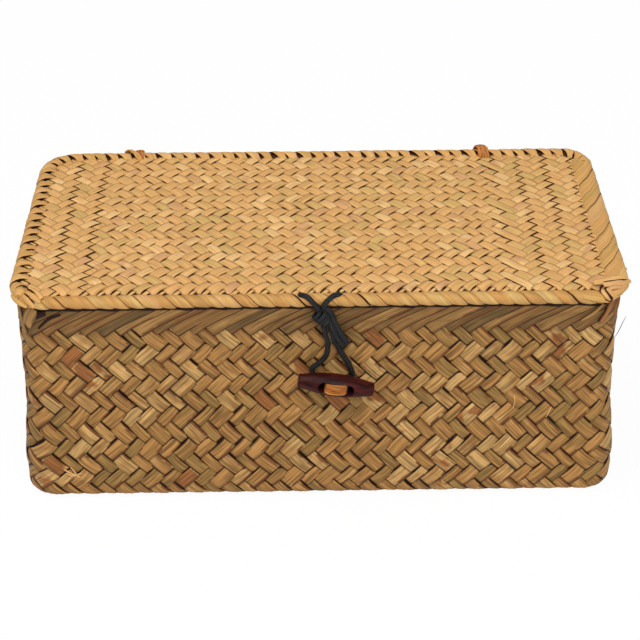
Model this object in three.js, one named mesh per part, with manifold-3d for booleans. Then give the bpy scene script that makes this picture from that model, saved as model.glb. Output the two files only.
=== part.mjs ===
// Woven storage basket: a rectangular grass box with a flat hinged lid, wound rims,
// a cord loop on the lid and a wooden toggle on the front wall.
// Millimetres. +Z is up, the front faces -Y, and the origin is under the middle of the base.

import * as THREE from 'three';
import { mergeVertices } from 'three/addons/utils/BufferGeometryUtils.js';
import Module from 'manifold-3d';

const wasm = await Module();
wasm.setup();

// Clearances
const seatGap = 0.3; // between pieces that rest on or pass through each other
const lidGap = 0.3; // between the closed lid and the basket's edge
const vertexMerge = 1e-4;

// Basket body
const basketHeight = 92.7; // base to the top of the folded edge
const wallThickness = 2; // two strips, one over the other
const baseThickness = 2.4;
const bodyCornerRadius = 9;
const footRadius = 5; // rounded edge between the walls and the base
const bellyHeight = 16; // where the wall is widest
const bellyBulge = 2.8; // how far it stands out there beyond the top
const bellyTuck = 1.2; // how far it draws in again towards the foot
const waistHeight = 50; // above this the wall is straight
const foldHeight = 13; // the edge strips turned down over the wall's top
const foldThickness = 0.7;
const foldChamfer = 0.4;

// Lid
const lidWidth = 250;
const lidDepth = 137;
const lidOverhang = 3.5; // beyond the folded edge on every side
const panelThickness = 2.2;
const panelRise = 0.4; // middle of the panel above the middle of the wound rim
const rearCornerRadius = 12; // along the middle of the wound rim
const frontCornerRadius = 6.5;

// Wound rim of the lid: strips that wrap over a core and slant as they go round it
const rollRadius = 3.1;
const grooveDepth = 0.65;
const wrapPitch = 6.4;
const wrapLean = 2; // pitches that a strip advances in one turn round the core
const wrapShoulders = [0, 0.18, 0.82]; // groove, rise and fall of one wrap, in pitches
const rollSides = 8;

// Hinge ties: grass strands wound round the rear rim and through the rear wall
const tieLeftInset = 43; // from the lid's left edge to the middle of the left tie
const tieRightInset = 49.2;
const tieTurns = 3;
const tiePitch = 2.1;
const tieStrandRadius = 0.6;
const tieHoleDrop = 9.1; // below the hinge axis
const tieHoleHeight = 2.8;
const tieBend = 1.6;
const tieInnerSlack = 0.2;
const tieOuterSlack = 0.25;
// Degrees above the rear horizontal: over the roll, and rising again behind it
const tieOverAngles = [15, 45, 75, 105, 135, 160, 180];
const tieBehindAngles = [-25, -5];
const tieKnotAngle = 4;
const tieKnotLength = 7;
const tieKnotThickness = 2.2;
const tieKnotHeight = 3.4;

// Toggle on the front wall
const toggleX = 6.4;
const toggleDrop = 34.2; // from the basket's top to the middle of the toggle
const toggleTilt = 9; // degrees, the right end lower
const toggleLength = 31;
const toggleMiddleRadius = 4.7;
const toggleEndRadius = 2.75;
const toggleEndFlat = 0.5; // softened rim of each end
const toggleFullness = 1.1; // above 1 the barrel swells later from its ends
const toggleStandOff = 3; // open space between the wall and the toggle
const toggleHoleSpacing = 10.2;
const toggleHoleRadius = 2.2;
const toggleGrooveDepth = 2.6;

// Grass stitch that carries the toggle, and its knot inside the basket
const stitchHalfHeight = 1.8;
const stitchHalfThickness = 1.1;
const stitchBend = 1.7;
const stitchLegGap = 0.9; // open space between a leg and the inner side of its hole
const shankHoleGap = 0.6; // open space round the shank where it goes through the wall
// Between the toggle and the wall: share of the way out to a leg, at a share of the open space
const stitchFlare = [
  [0.2, 0.7],
  [0.64, 0.4],
];
const stitchKnotRadius = 3.6;
const stitchKnotThickness = 2.2;

// Waxed cord of the closure
const cordRadius = 1.05;
const cordHoleX = 6.4; // each side of the middle of the lid
const cordHoleInset = 2.1; // from the panel's front edge to the middle of a cord hole
const cordHoleGap = 0.5; // open space round the cord in its hole
const cordWallGap = 0.45; // between the loop and the wall behind it
const cordKnotX = 1.1;
const cordKnotDrop = 4.5; // from the basket's top to the middle of the knot
const cordKnotSize = 1.75; // radius of the trefoil that the knot follows
const cordKnotStrand = 0.95;
const cordKnotDepth = 1.55; // stretch of the knot from back to front
const cordKnotCrown = 0.9; // share of the knot's reach at which the legs leave it

// Share of the cord holes' spacing that each leg has reached: at the knot, then over the rim
const legSpread = [0.234, 0.531, 0.719, 0.875, 0.953];
const legRimAngles = [0, 45, 90, 122]; // degrees round the rim from its front

// Routes of the cord, in cord radii. Near the knot a place is its distance right of the
// knot, out from the folded edge and up from the knot.
const leftTailRoute = [
  [3.71, 4.57, -1.71],
  [6.29, 4.19, -7.24],
  [8.1, 2.48, -12.95],
];
const rightTailRoute = [
  [4.1, 4.19, 1.62],
  [8.29, 4.19, -5.52],
  [10.76, 2.86, -12.38],
];
const loopLeftStart = [
  [0.38, 2.6, -3.81],
  [1.33, 2.86, -8.29],
  [2.19, 1.81, -12.57],
];
const loopRightEnd = [
  [4.29, 2.48, -9.71],
  [2.86, 2.6, -3.05],
];
// Behind the toggle the loop lies against the wall: right of the toggle's middle, and up from it.
const loopOnWall = [
  [-3.9, 9.43],
  [-6.19, 6.57],
  [-8.86, 4.29],
  [-8.86, 0.86],
  [-6.1, -3.33],
  [-2.38, -4.48],
  [2.38, -4.48],
  [5.33, -3.14],
  [6.57, 1.14],
  [4.95, 6.19],
  [1.62, 12.29],
];

// Faceting
const cornerSteps = 6;
const cordSides = 8;
const strandSides = 6;
const turnedSides = 16; // round the toggle and the shank hole
const smallHoleSides = 12;
const knotSides = 12; // round a flat knot
const knotRings = 8;
const anchorSteps = 56;
const tailSteps = 8;
const loopSteps = 64;
const trefoilSteps = 48;
const stitchSteps = 40;
const tieStepsPerTurn = 24;

// Sizes that follow from the ones above
const foldHalfWidth = lidWidth / 2 - lidOverhang;
const foldHalfDepth = lidDepth / 2 - lidOverhang;
const wallHalfWidth = foldHalfWidth - foldThickness - seatGap;
const wallHalfDepth = foldHalfDepth - foldThickness - seatGap;
const wallTop = basketHeight - foldThickness - seatGap;
const foldInnerDepth = wallHalfDepth - wallThickness - seatGap - foldThickness;
const rollHalfWidth = lidWidth / 2 - rollRadius;
const rollHalfDepth = lidDepth / 2 - rollRadius;
const rollZ = basketHeight + lidGap + rollRadius;
const panelZ = rollZ + panelRise;
const panelTop = panelZ + panelThickness / 2;
const panelBottom = panelZ - panelThickness / 2;
const panelHalfWidth = rollHalfWidth - rollRadius - seatGap;
const panelHalfDepth = rollHalfDepth - rollRadius - seatGap;
const hingeY = rollHalfDepth;
const hingeZ = rollZ;
const tieLeftX = -lidWidth / 2 + tieLeftInset;
const tieRightX = lidWidth / 2 - tieRightInset;
const tieHoleZ = hingeZ - tieHoleDrop;
const tieWidth = tieTurns * tiePitch + 2 * (tieStrandRadius + seatGap);
const tieArcRadius = rollRadius + seatGap + tieStrandRadius;
const toggleZ = basketHeight - toggleDrop;
const cordKnotZ = basketHeight - cordKnotDrop;
const shankReach = 2 * stitchHalfThickness + seatGap / 2;
const shankHoleRadius = shankReach + shankHoleGap;

// Materials
const bodyGrass = new THREE.MeshStandardMaterial({ color: 0xa5824b, roughness: 0.75 });
const edgeGrass = new THREE.MeshStandardMaterial({ color: 0x8f6f3e, roughness: 0.78 });
const lidGrass = new THREE.MeshStandardMaterial({ color: 0xd7aa69, roughness: 0.68 });
const rimGrass = new THREE.MeshStandardMaterial({ color: 0xcf9f5c, roughness: 0.66 });
const tieGrass = new THREE.MeshStandardMaterial({ color: 0xc98a4e, roughness: 0.7 });
const stitchGrass = new THREE.MeshStandardMaterial({ color: 0xcd8c3c, roughness: 0.7 });
const darkWood = new THREE.MeshStandardMaterial({ color: 0x4a2120, roughness: 0.35 });
const waxedCord = new THREE.MeshStandardMaterial({ color: 0x282a2c, roughness: 0.6 });

const basket = new THREE.Group();
const lid = new THREE.Group();
const toggle = new THREE.Group();

function addPiece(group, name, geometry, material) {
  const mesh = new THREE.Mesh(geometry, material);
  mesh.name = name;
  group.add(mesh);
  return mesh;
}

// Solids

// Merges coincident points and drops the triangles that this leaves without area.
function closedGeometry(positions, triangles) {
  const loose = new THREE.BufferGeometry();
  loose.setAttribute('position', new THREE.Float32BufferAttribute(positions.flatMap((p) => p.toArray()), 3));
  loose.setIndex(triangles.flat());
  const merged = mergeVertices(loose, vertexMerge);
  const index = merged.getIndex();
  const kept = [];
  for (let i = 0; i < index.count; i += 3) {
    const [a, b, c] = [index.getX(i), index.getX(i + 1), index.getX(i + 2)];
    if (a !== b && b !== c && c !== a) {
      kept.push(a, b, c);
    }
  }
  merged.setIndex(kept);
  merged.computeVertexNormals();
  return merged;
}

function toSolid(geometry) {
  const bare = geometry.clone();
  bare.deleteAttribute('normal');
  bare.deleteAttribute('uv');
  const merged = mergeVertices(bare, vertexMerge);
  return new wasm.Manifold(
    new wasm.Mesh({
      numProp: 3,
      vertProperties: new Float32Array(merged.getAttribute('position').array),
      triVerts: new Uint32Array(merged.getIndex().array),
    }),
  );
}

function toGeometry(solid) {
  const mesh = solid.getMesh();
  const geometry = new THREE.BufferGeometry();
  geometry.setAttribute('position', new THREE.BufferAttribute(mesh.vertProperties, 3));
  geometry.setIndex(new THREE.BufferAttribute(mesh.triVerts, 1));
  geometry.computeVertexNormals();
  return geometry;
}

function cut(geometry, tools) {
  let solid = toSolid(geometry);
  for (const tool of tools) {
    solid = solid.subtract(toSolid(tool));
  }
  return toGeometry(solid);
}

// A level rounded rectangle of points, counterclockwise from above.
function roundedRing(halfWidth, halfDepth, radius, height) {
  const ring = [];
  const corners = [
    [1, 1],
    [-1, 1],
    [-1, -1],
    [1, -1],
  ];
  for (const [quarter, [sideX, sideY]] of corners.entries()) {
    for (let step = 0; step <= cornerSteps; step += 1) {
      const angle = (Math.PI / 2) * (quarter + step / cornerSteps);
      const x = sideX * (halfWidth - radius) + radius * Math.cos(angle);
      const y = sideY * (halfDepth - radius) + radius * Math.sin(angle);
      ring.push(new THREE.Vector3(x, y, height));
    }
  }
  return ring;
}

function joinRings(triangles, lower, upper, count) {
  for (let i = 0; i < count; i += 1) {
    const next = (i + 1) % count;
    triangles.push([lower + i, lower + next, upper + next]);
    triangles.push([lower + i, upper + next, upper + i]);
  }
}

// A skin over rings of equal size, closed by a fan at each end.
function skinCup(rings, startCentre, endCentre) {
  const count = rings[0].length;
  const positions = [...rings.flat(), startCentre, endCentre];
  const start = rings.length * count;
  const last = start - count;
  const triangles = [];
  for (let k = 0; k + 1 < rings.length; k += 1) {
    joinRings(triangles, k * count, (k + 1) * count, count);
  }
  for (let i = 0; i < count; i += 1) {
    const next = (i + 1) % count;
    triangles.push([start, next, i]);
    triangles.push([start + 1, last + i, last + next]);
  }
  return closedGeometry(positions, triangles);
}

// A skin over rings whose last joins the first, as round the section of a collar.
function skinCollar(rings) {
  const count = rings[0].length;
  const triangles = [];
  for (let k = 0; k < rings.length; k += 1) {
    joinRings(triangles, k * count, ((k + 1) % rings.length) * count, count);
  }
  return closedGeometry(rings.flat(), triangles);
}

function ovalSection(halfA, halfB, sides) {
  const points = [];
  for (let i = 0; i < sides; i += 1) {
    const angle = ((i + 0.5) * 2 * Math.PI) / sides;
    points.push(new THREE.Vector2(halfA * Math.cos(angle), halfB * Math.sin(angle)));
  }
  return new THREE.Shape(points);
}

function sweep(route, section, steps) {
  return new THREE.ExtrudeGeometry(section, { steps, bevelEnabled: false, extrudePath: route });
}

function smoothRoute(points) {
  return new THREE.CatmullRomCurve3(points, false, 'centripetal');
}

function cordPiece(points, steps) {
  return sweep(smoothRoute(points), ovalSection(cordRadius, cordRadius, cordSides), steps);
}

function flatKnot(width, thickness, height) {
  const knot = new THREE.SphereGeometry(0.5, knotSides, knotRings);
  knot.scale(width, thickness, height);
  return knot;
}

// The least open space between stretches of one strand that lie far apart along it.
function leastGap(route, strandRadius) {
  const samples = 600;
  const apart = 8 * strandRadius;
  const points = route.getSpacedPoints(samples);
  const stride = Math.ceil((apart * samples) / route.getLength());
  let least = Infinity;
  for (let i = 0; i < points.length; i += 1) {
    for (let j = i + stride; j < points.length; j += 1) {
      least = Math.min(least, points[i].distanceTo(points[j]));
    }
  }
  return least - 2 * strandRadius;
}

// Basket body

// How far the wall's outer face stands beyond its top, at a height.
function wallSwell(height) {
  const belly = bellyBulge * (1 - THREE.MathUtils.smoothstep(height, bellyHeight, waistHeight));
  const tuck = bellyTuck * (1 - THREE.MathUtils.smoothstep(height, 0, bellyHeight));
  return belly - tuck;
}

function wallRing(height, offset) {
  const reach = wallSwell(height) + offset;
  return roundedRing(wallHalfWidth + reach, wallHalfDepth + reach, bodyCornerRadius + reach, height);
}

// Rings up a wall face from a rounded foot: offset is the face's distance out from the outer face.
function wallFace(floor, foot, offset) {
  const footSteps = 4;
  const wallSteps = 8;
  const rings = [];
  for (let step = 0; step < footSteps; step += 1) {
    const angle = (Math.PI / 2) * (step / footSteps);
    const height = floor + foot * (1 - Math.cos(angle));
    rings.push(wallRing(height, offset - foot * (1 - Math.sin(angle))));
  }
  for (let step = 0; step <= wallSteps; step += 1) {
    const height = THREE.MathUtils.lerp(floor + foot, wallTop, step / wallSteps);
    rings.push(wallRing(height, offset));
  }
  return rings;
}

function tieHole(x) {
  const hole = new THREE.BoxGeometry(tieWidth, foldHalfDepth, tieHoleHeight);
  hole.translate(x, foldHalfDepth, tieHoleZ);
  return hole;
}

function basketShell() {
  const outside = wallFace(0, footRadius, 0);
  const inside = wallFace(baseThickness, footRadius - wallThickness, -wallThickness);
  const under = new THREE.Vector3(0, 0, 0);
  const floor = new THREE.Vector3(0, 0, baseThickness);
  const shell = skinCup([...outside, ...inside.reverse()], under, floor);
  const shankHole = new THREE.CylinderGeometry(shankHoleRadius, shankHoleRadius, foldHalfDepth, turnedSides);
  shankHole.translate(toggleX, -foldHalfDepth, toggleZ);
  return cut(shell, [tieHole(tieLeftX), tieHole(tieRightX), shankHole]);
}

// The folded edge is a collar with a U section that sits over the wall's top.
function foldedEdge() {
  const low = basketHeight - foldHeight;
  const outer = seatGap + foldThickness;
  const inner = -wallThickness - seatGap - foldThickness;
  const section = [
    [outer, low],
    [outer, basketHeight - foldChamfer],
    [outer - foldChamfer, basketHeight],
    [inner + foldChamfer, basketHeight],
    [inner, basketHeight - foldChamfer],
    [inner, low],
    [inner + foldThickness, low],
    [inner + foldThickness, basketHeight - foldThickness],
    [seatGap, basketHeight - foldThickness],
    [seatGap, low],
  ];
  const collar = skinCollar(section.map(([offset, height]) => wallRing(height, offset)));
  return cut(collar, [tieHole(tieLeftX), tieHole(tieRightX)]);
}

// Wound rim of the lid

// Middle line of the rim along one side, with the corners that belong to it.
function rimSide(side) {
  const path = new THREE.Path();
  const w = rollHalfWidth;
  const d = rollHalfDepth;
  const front = frontCornerRadius;
  const rear = rearCornerRadius;
  if (side === 'front') {
    path.absarc(-w + front, -d + front, front, Math.PI, 1.5 * Math.PI);
    path.absarc(w - front, -d + front, front, 1.5 * Math.PI, 2 * Math.PI);
  }
  if (side === 'rear') {
    path.absarc(w - rear, d - rear, rear, 0, 0.5 * Math.PI);
    path.absarc(-w + rear, d - rear, rear, 0.5 * Math.PI, Math.PI);
  }
  if (side === 'right') {
    path.moveTo(w, -d + front + seatGap);
    path.lineTo(w, d - rear - seatGap);
  }
  if (side === 'left') {
    path.moveTo(-w, d - rear - seatGap);
    path.lineTo(-w, -d + front + seatGap);
  }
  return path;
}

// A roll along a path whose surface rises and falls over the slanted wraps.
function woundRoll(path) {
  const length = path.getLength();
  const leanSteps = wrapLean * wrapShoulders.length;
  const wraps = Math.ceil(length / wrapPitch) + wrapLean + 1;
  const rows = wraps * wrapShoulders.length;
  const positions = [];
  const triangles = [];
  for (let row = 0; row <= rows; row += 1) {
    const wrap = Math.floor(row / wrapShoulders.length);
    const shoulder = wrapShoulders[row % wrapShoulders.length];
    for (let column = 0; column <= rollSides; column += 1) {
      const turn = column / rollSides;
      const along = (wrap + shoulder - wrapLean * turn) * wrapPitch;
      const clipped = THREE.MathUtils.clamp(along, 0, length);
      const inGroove = shoulder === 0 || clipped !== along;
      const radius = inGroove ? rollRadius - grooveDepth : rollRadius;
      const middle = path.getPointAt(clipped / length);
      const heading = path.getTangentAt(clipped / length);
      const angle = turn * 2 * Math.PI;
      const out = radius * Math.cos(angle);
      const up = radius * Math.sin(angle);
      positions.push(new THREE.Vector3(middle.x + heading.y * out, middle.y - heading.x * out, rollZ + up));
    }
  }
  const rowLength = rollSides + 1;
  for (let row = 0; row < rows; row += 1) {
    for (let column = 0; column < rollSides; column += 1) {
      const a = row * rowLength + column;
      const b = a + rowLength;
      triangles.push([a, b, b + 1]);
      triangles.push([a, b + 1, a + 1]);
    }
  }
  // Each end is a fan over the clipped points, from the middle of the roll.
  const ends = [0, rows * rowLength];
  for (const [end, first] of ends.entries()) {
    const centre = path.getPointAt(end);
    positions.push(new THREE.Vector3(centre.x, centre.y, rollZ));
    const middle = positions.length - 1;
    for (let column = 0; column < rollSides; column += 1) {
      const a = first + column;
      triangles.push(end === 0 ? [middle, a, a + 1] : [middle, a + 1, a]);
    }
  }
  return closedGeometry(positions, triangles);
}

// Lid panel

function slot(centreX, centreY, width, depth) {
  const hole = new THREE.Path();
  hole.moveTo(centreX - width / 2, centreY - depth / 2);
  hole.lineTo(centreX - width / 2, centreY + depth / 2);
  hole.lineTo(centreX + width / 2, centreY + depth / 2);
  hole.lineTo(centreX + width / 2, centreY - depth / 2);
  hole.closePath();
  return hole;
}

function lidPanel() {
  const rear = rearCornerRadius - rollRadius - seatGap;
  const front = frontCornerRadius - rollRadius - seatGap;
  const w = panelHalfWidth;
  const d = panelHalfDepth;
  const notchDepth = 2 * (tieStrandRadius + seatGap);
  const notchReach = tieWidth / 2;
  const outline = new THREE.Shape();
  outline.absarc(-w + front, -d + front, front, Math.PI, 1.5 * Math.PI);
  outline.absarc(w - front, -d + front, front, 1.5 * Math.PI, 2 * Math.PI);
  outline.absarc(w - rear, d - rear, rear, 0, 0.5 * Math.PI);
  for (const x of [tieRightX, tieLeftX]) {
    outline.lineTo(x + notchReach, d);
    outline.lineTo(x + notchReach, d - notchDepth);
    outline.lineTo(x - notchReach, d - notchDepth);
    outline.lineTo(x - notchReach, d);
  }
  outline.absarc(-w + rear, d - rear, rear, 0.5 * Math.PI, Math.PI);
  for (const side of [-1, 1]) {
    const hole = new THREE.Path();
    hole.absarc(side * cordHoleX, cordHoleY, cordRadius + cordHoleGap, 0, 2 * Math.PI);
    outline.holes.push(hole);
  }
  const panel = new THREE.ExtrudeGeometry(outline, {
    depth: panelThickness,
    bevelEnabled: false,
    curveSegments: cornerSteps,
  });
  panel.translate(0, 0, panelBottom);
  return panel;
}

// Hinge ties

// One turn of a tie in the plane across the hinge, as rearward and upward places.
function tieTurnOutline() {
  const insideY = foldInnerDepth - seatGap - tieStrandRadius - tieInnerSlack;
  const outsideY = foldHalfDepth + seatGap + tieStrandRadius + tieOuterSlack;
  const bendShift = tieBend * (1 - Math.SQRT1_2);
  const onArc = (degrees) => {
    const angle = THREE.MathUtils.degToRad(degrees);
    return [hingeY + tieArcRadius * Math.cos(angle), hingeZ + tieArcRadius * Math.sin(angle)];
  };
  const overRoll = tieOverAngles.map(onArc);
  const throughWall = [
    [insideY, basketHeight - foldChamfer],
    [insideY, tieHoleZ + tieBend],
    [insideY + bendShift, tieHoleZ + bendShift],
    [insideY + tieBend, tieHoleZ],
    [outsideY - tieBend, tieHoleZ],
    [outsideY - bendShift, tieHoleZ + bendShift],
    [outsideY, tieHoleZ + tieBend],
  ];
  const behindRoll = tieBehindAngles.map(onArc);
  return [...overRoll, ...throughWall, ...behindRoll];
}

function hingeTie(x) {
  const outline = tieTurnOutline();
  const points = [];
  for (let i = 0; i <= tieTurns * outline.length; i += 1) {
    const [y, z] = outline[i % outline.length];
    const drift = (i / outline.length - tieTurns / 2) * tiePitch;
    points.push(new THREE.Vector3(x + drift, y, z));
  }
  const route = smoothRoute(points);
  console.log('least gap between the turns of a hinge tie', leastGap(route, tieStrandRadius).toFixed(2));
  const section = ovalSection(tieStrandRadius, tieStrandRadius, strandSides);
  return sweep(route, section, tieTurns * tieStepsPerTurn);
}

// A flat knot that lies over the ends of a tie, behind the rim.
function hingeKnot(x) {
  const reach = tieArcRadius + tieStrandRadius + seatGap + tieKnotThickness / 2;
  const angle = THREE.MathUtils.degToRad(tieKnotAngle);
  const knot = flatKnot(tieKnotLength, tieKnotThickness, tieKnotHeight);
  knot.rotateX(angle);
  knot.translate(x, hingeY + reach * Math.cos(angle), hingeZ + reach * Math.sin(angle));
  return knot;
}

// Closure cord

const frontFold = -foldHalfDepth;
const cordHoleY = -panelHalfDepth + cordHoleInset;
const underPanelZ = panelBottom - seatGap - cordRadius;
const overRollRadius = rollRadius + seatGap + cordRadius;
// A trefoil's middle line spans half its radius each way along its axis, and 1.5 radii across.
const knotY = frontFold - seatGap - (0.5 * cordKnotSize + cordKnotStrand) * cordKnotDepth;
const knotReach = 1.5 * cordKnotSize + cordKnotStrand;
const wallFront = -wallHalfDepth;

const knotTop = cordKnotZ + cordKnotCrown * knotReach + seatGap;

// One side of the cord from the knot over the rim and down through the panel.
function anchorLeg(side) {
  const bend = cordRadius + seatGap;
  const bendShift = bend * (1 - Math.SQRT1_2);
  const x = side * cordHoleX;
  const [atKnot, ...overRim] = legSpread;
  const onRim = overRim.map((share, i) => {
    const angle = THREE.MathUtils.degToRad(legRimAngles[i]);
    const y = -rollHalfDepth - overRollRadius * Math.cos(angle);
    const towardsKnot = i === 0 ? cordKnotX / 2 : 0;
    return new THREE.Vector3(x * share + towardsKnot, y, rollZ + overRollRadius * Math.sin(angle));
  });
  return [
    new THREE.Vector3(x * atKnot + cordKnotX, knotY, knotTop),
    ...onRim,
    new THREE.Vector3(x, cordHoleY, panelTop + cordRadius),
    new THREE.Vector3(x, cordHoleY, panelBottom),
    new THREE.Vector3(x - side * bendShift, cordHoleY, underPanelZ + bendShift),
    new THREE.Vector3(x - side * bend, cordHoleY, underPanelZ),
  ];
}

function cordAnchor() {
  return cordPiece([...anchorLeg(-1), ...anchorLeg(1).reverse()], anchorSteps);
}

// A trefoil: the overhand knot that gathers the legs, the loop and the tails.
function cordKnot() {
  const knot = new THREE.TorusKnotGeometry(cordKnotSize, cordKnotStrand, trefoilSteps, strandSides, 2, 3);
  knot.rotateX(Math.PI / 2);
  knot.rotateY(Math.PI / 2);
  knot.scale(1, cordKnotDepth, 1);
  knot.translate(cordKnotX, knotY, cordKnotZ);
  return knot;
}

function nearKnot([right, out, up]) {
  const x = cordKnotX + right * cordRadius;
  const z = cordKnotZ + up * cordRadius;
  return new THREE.Vector3(x, frontFold - out * cordRadius, z);
}

function cordTail(places) {
  return cordPiece(places.map(nearKnot), tailSteps);
}

// The loop hangs from the knot and passes behind the toggle, under its stitch.
function cordLoop() {
  const behindToggle = loopOnWall.map(([right, up]) => {
    const z = toggleZ + up * cordRadius;
    const y = wallFront - wallSwell(z) - cordWallGap - cordRadius;
    return new THREE.Vector3(toggleX + right * cordRadius, y, z);
  });
  const route = [...loopLeftStart.map(nearKnot), ...behindToggle, ...loopRightEnd.map(nearKnot)];
  return cordPiece(route, loopSteps);
}

// Toggle, built along X about its own middle with its back to +Y

const toggleY = wallFront - toggleStandOff - toggleMiddleRadius;

function toggleBarrel() {
  const half = toggleLength / 2;
  const profile = [
    new THREE.Vector2(0, -half),
    new THREE.Vector2(toggleEndRadius - toggleEndFlat, -half),
    new THREE.Vector2(toggleEndRadius, -half + toggleEndFlat),
  ];
  const swellSteps = 6;
  for (let step = 1; step < swellSteps; step += 1) {
    const place = step / swellSteps;
    const rise = Math.sin(Math.PI * place) ** toggleFullness;
    const radius = THREE.MathUtils.lerp(toggleEndRadius, toggleMiddleRadius, rise);
    profile.push(new THREE.Vector2(radius, THREE.MathUtils.lerp(-half, half, place)));
  }
  profile.push(new THREE.Vector2(toggleEndRadius, half - toggleEndFlat));
  profile.push(new THREE.Vector2(toggleEndRadius - toggleEndFlat, half));
  profile.push(new THREE.Vector2(0, half));
  const barrel = new THREE.LatheGeometry(profile, turnedSides);
  barrel.rotateZ(-Math.PI / 2);
  const through = 4 * toggleMiddleRadius;
  const tools = [];
  for (const side of [-1, 1]) {
    const hole = new THREE.CylinderGeometry(toggleHoleRadius, toggleHoleRadius, through, smallHoleSides);
    hole.translate((side * toggleHoleSpacing) / 2, 0, 0);
    tools.push(hole);
  }
  const groove = new THREE.BoxGeometry(toggleHoleSpacing, 2 * toggleGrooveDepth, 2 * toggleHoleRadius);
  groove.translate(0, -toggleMiddleRadius, 0);
  tools.push(groove);
  return cut(barrel, tools);
}

// The stitch crosses the groove, goes back through both holes and gathers into a shank.
function toggleStitch() {
  const legX = toggleHoleSpacing / 2 - toggleHoleRadius + stitchLegGap + stitchHalfThickness;
  const bridgeY = -toggleMiddleRadius + toggleGrooveDepth - seatGap - stitchHalfThickness;
  const shankX = stitchHalfThickness + seatGap / 2;
  const gatherY = toggleMiddleRadius + toggleStandOff;
  const insideY = gatherY + wallThickness;
  const bendShift = stitchBend * (1 - Math.SQRT1_2);
  const flare = stitchFlare.map(([share, openShare]) => [
    THREE.MathUtils.lerp(shankX, legX, share),
    toggleMiddleRadius + openShare * toggleStandOff,
  ]);
  const half = [
    [shankX, insideY],
    [shankX, gatherY],
    ...flare,
    [legX, toggleMiddleRadius],
    [legX, toggleMiddleRadius / 2],
    [legX, bridgeY + stitchBend],
    [legX - bendShift, bridgeY + bendShift],
    [legX - stitchBend, bridgeY],
  ];
  const left = half.map(([x, y]) => new THREE.Vector3(-x, y, 0));
  const right = half.map(([x, y]) => new THREE.Vector3(x, y, 0)).reverse();
  const section = ovalSection(stitchHalfHeight, stitchHalfThickness, cordSides);
  return sweep(smoothRoute([...left, ...right]), section, stitchSteps);
}

function stitchKnot() {
  const knot = flatKnot(2 * stitchKnotRadius, stitchKnotThickness, 2 * stitchKnotRadius);
  const wallBack = toggleMiddleRadius + toggleStandOff + wallThickness;
  knot.translate(0, wallBack + seatGap + stitchKnotThickness / 2, 0);
  return knot;
}

// Assembly

addPiece(basket, 'basket_shell', basketShell(), bodyGrass);
addPiece(basket, 'basket_folded_edge', foldedEdge(), edgeGrass);
addPiece(basket, 'hinge_tie_left', hingeTie(tieLeftX), tieGrass);
addPiece(basket, 'hinge_tie_right', hingeTie(tieRightX), tieGrass);
addPiece(basket, 'hinge_knot_left', hingeKnot(tieLeftX), tieGrass);
addPiece(basket, 'hinge_knot_right', hingeKnot(tieRightX), tieGrass);

addPiece(lid, 'lid_panel', lidPanel(), lidGrass);
for (const side of ['front', 'rear', 'left', 'right']) {
  addPiece(lid, `lid_rim_${side}`, woundRoll(rimSide(side)), rimGrass);
}
addPiece(lid, 'cord_anchor', cordAnchor(), waxedCord);
addPiece(lid, 'cord_knot', cordKnot(), waxedCord);
addPiece(lid, 'cord_tail_left', cordTail(leftTailRoute), waxedCord);
addPiece(lid, 'cord_tail_right', cordTail(rightTailRoute), waxedCord);
addPiece(lid, 'cord_loop', cordLoop(), waxedCord);

addPiece(toggle, 'toggle_barrel', toggleBarrel(), darkWood);
addPiece(toggle, 'toggle_stitch', toggleStitch(), stitchGrass);
addPiece(toggle, 'toggle_stitch_knot', stitchKnot(), stitchGrass);
toggle.position.set(toggleX, toggleY, toggleZ);
toggle.rotation.y = THREE.MathUtils.degToRad(toggleTilt);

const assembly = new THREE.Group();
assembly.add(basket, lid, toggle);
export default assembly;
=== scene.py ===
"""Dresses the woven basket: plaited walls and lid, wound rims, grass ties, waxed cord and a wooden toggle."""

import math

import bmesh
import bpy
from bpy.props import FloatProperty, FloatVectorProperty, IntProperty, PointerProperty
from mathutils import Matrix, Vector, noise


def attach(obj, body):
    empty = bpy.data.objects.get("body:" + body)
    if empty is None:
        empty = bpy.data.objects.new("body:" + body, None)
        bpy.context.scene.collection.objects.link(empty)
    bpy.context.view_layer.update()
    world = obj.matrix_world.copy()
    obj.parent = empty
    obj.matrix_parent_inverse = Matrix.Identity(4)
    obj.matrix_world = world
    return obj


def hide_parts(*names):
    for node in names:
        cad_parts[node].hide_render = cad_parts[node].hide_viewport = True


bl_info = {
    "name": "Woven storage basket",
    "version": (1, 0, 0),
    "blender": (4, 5, 0),
    "location": "View3D > Sidebar > Basket",
    "description": "Plaits, winds and finishes a lidded grass basket round its packed model",
    "category": "Object",
}

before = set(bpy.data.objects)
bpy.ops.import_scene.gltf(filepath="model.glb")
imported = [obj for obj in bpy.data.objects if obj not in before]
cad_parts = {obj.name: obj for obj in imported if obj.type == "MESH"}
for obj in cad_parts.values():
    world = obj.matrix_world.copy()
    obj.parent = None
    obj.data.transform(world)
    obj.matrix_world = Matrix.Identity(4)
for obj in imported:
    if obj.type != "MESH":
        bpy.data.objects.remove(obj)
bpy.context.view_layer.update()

MM = 0.001
HALF_TURN = math.pi
FULL_TURN = 2 * math.pi

# The basket's body, as its solids have it
WALL_HALF_WIDTH = 120.5 * MM
WALL_HALF_DEPTH = 64.0 * MM
WALL_CORNER = 9.0 * MM
BELLY_HEIGHT = 16.0 * MM
BELLY_BULGE = 2.8 * MM
BELLY_TUCK = 0.8 * MM
WAIST_HEIGHT = 50.0 * MM
BASKET_TOP = 92.7 * MM

# The lid, as its solids have it
ROLL_HALF_WIDTH = 121.9 * MM
ROLL_HALF_DEPTH = 65.4 * MM
ROLL_HEIGHT = 96.1 * MM
ROLL_RADIUS = 3.1 * MM
LID_CORNERS = (12.0 * MM, 11.0 * MM, 10.0 * MM, 14.0 * MM)  # front left, front right, rear right, rear left
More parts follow.
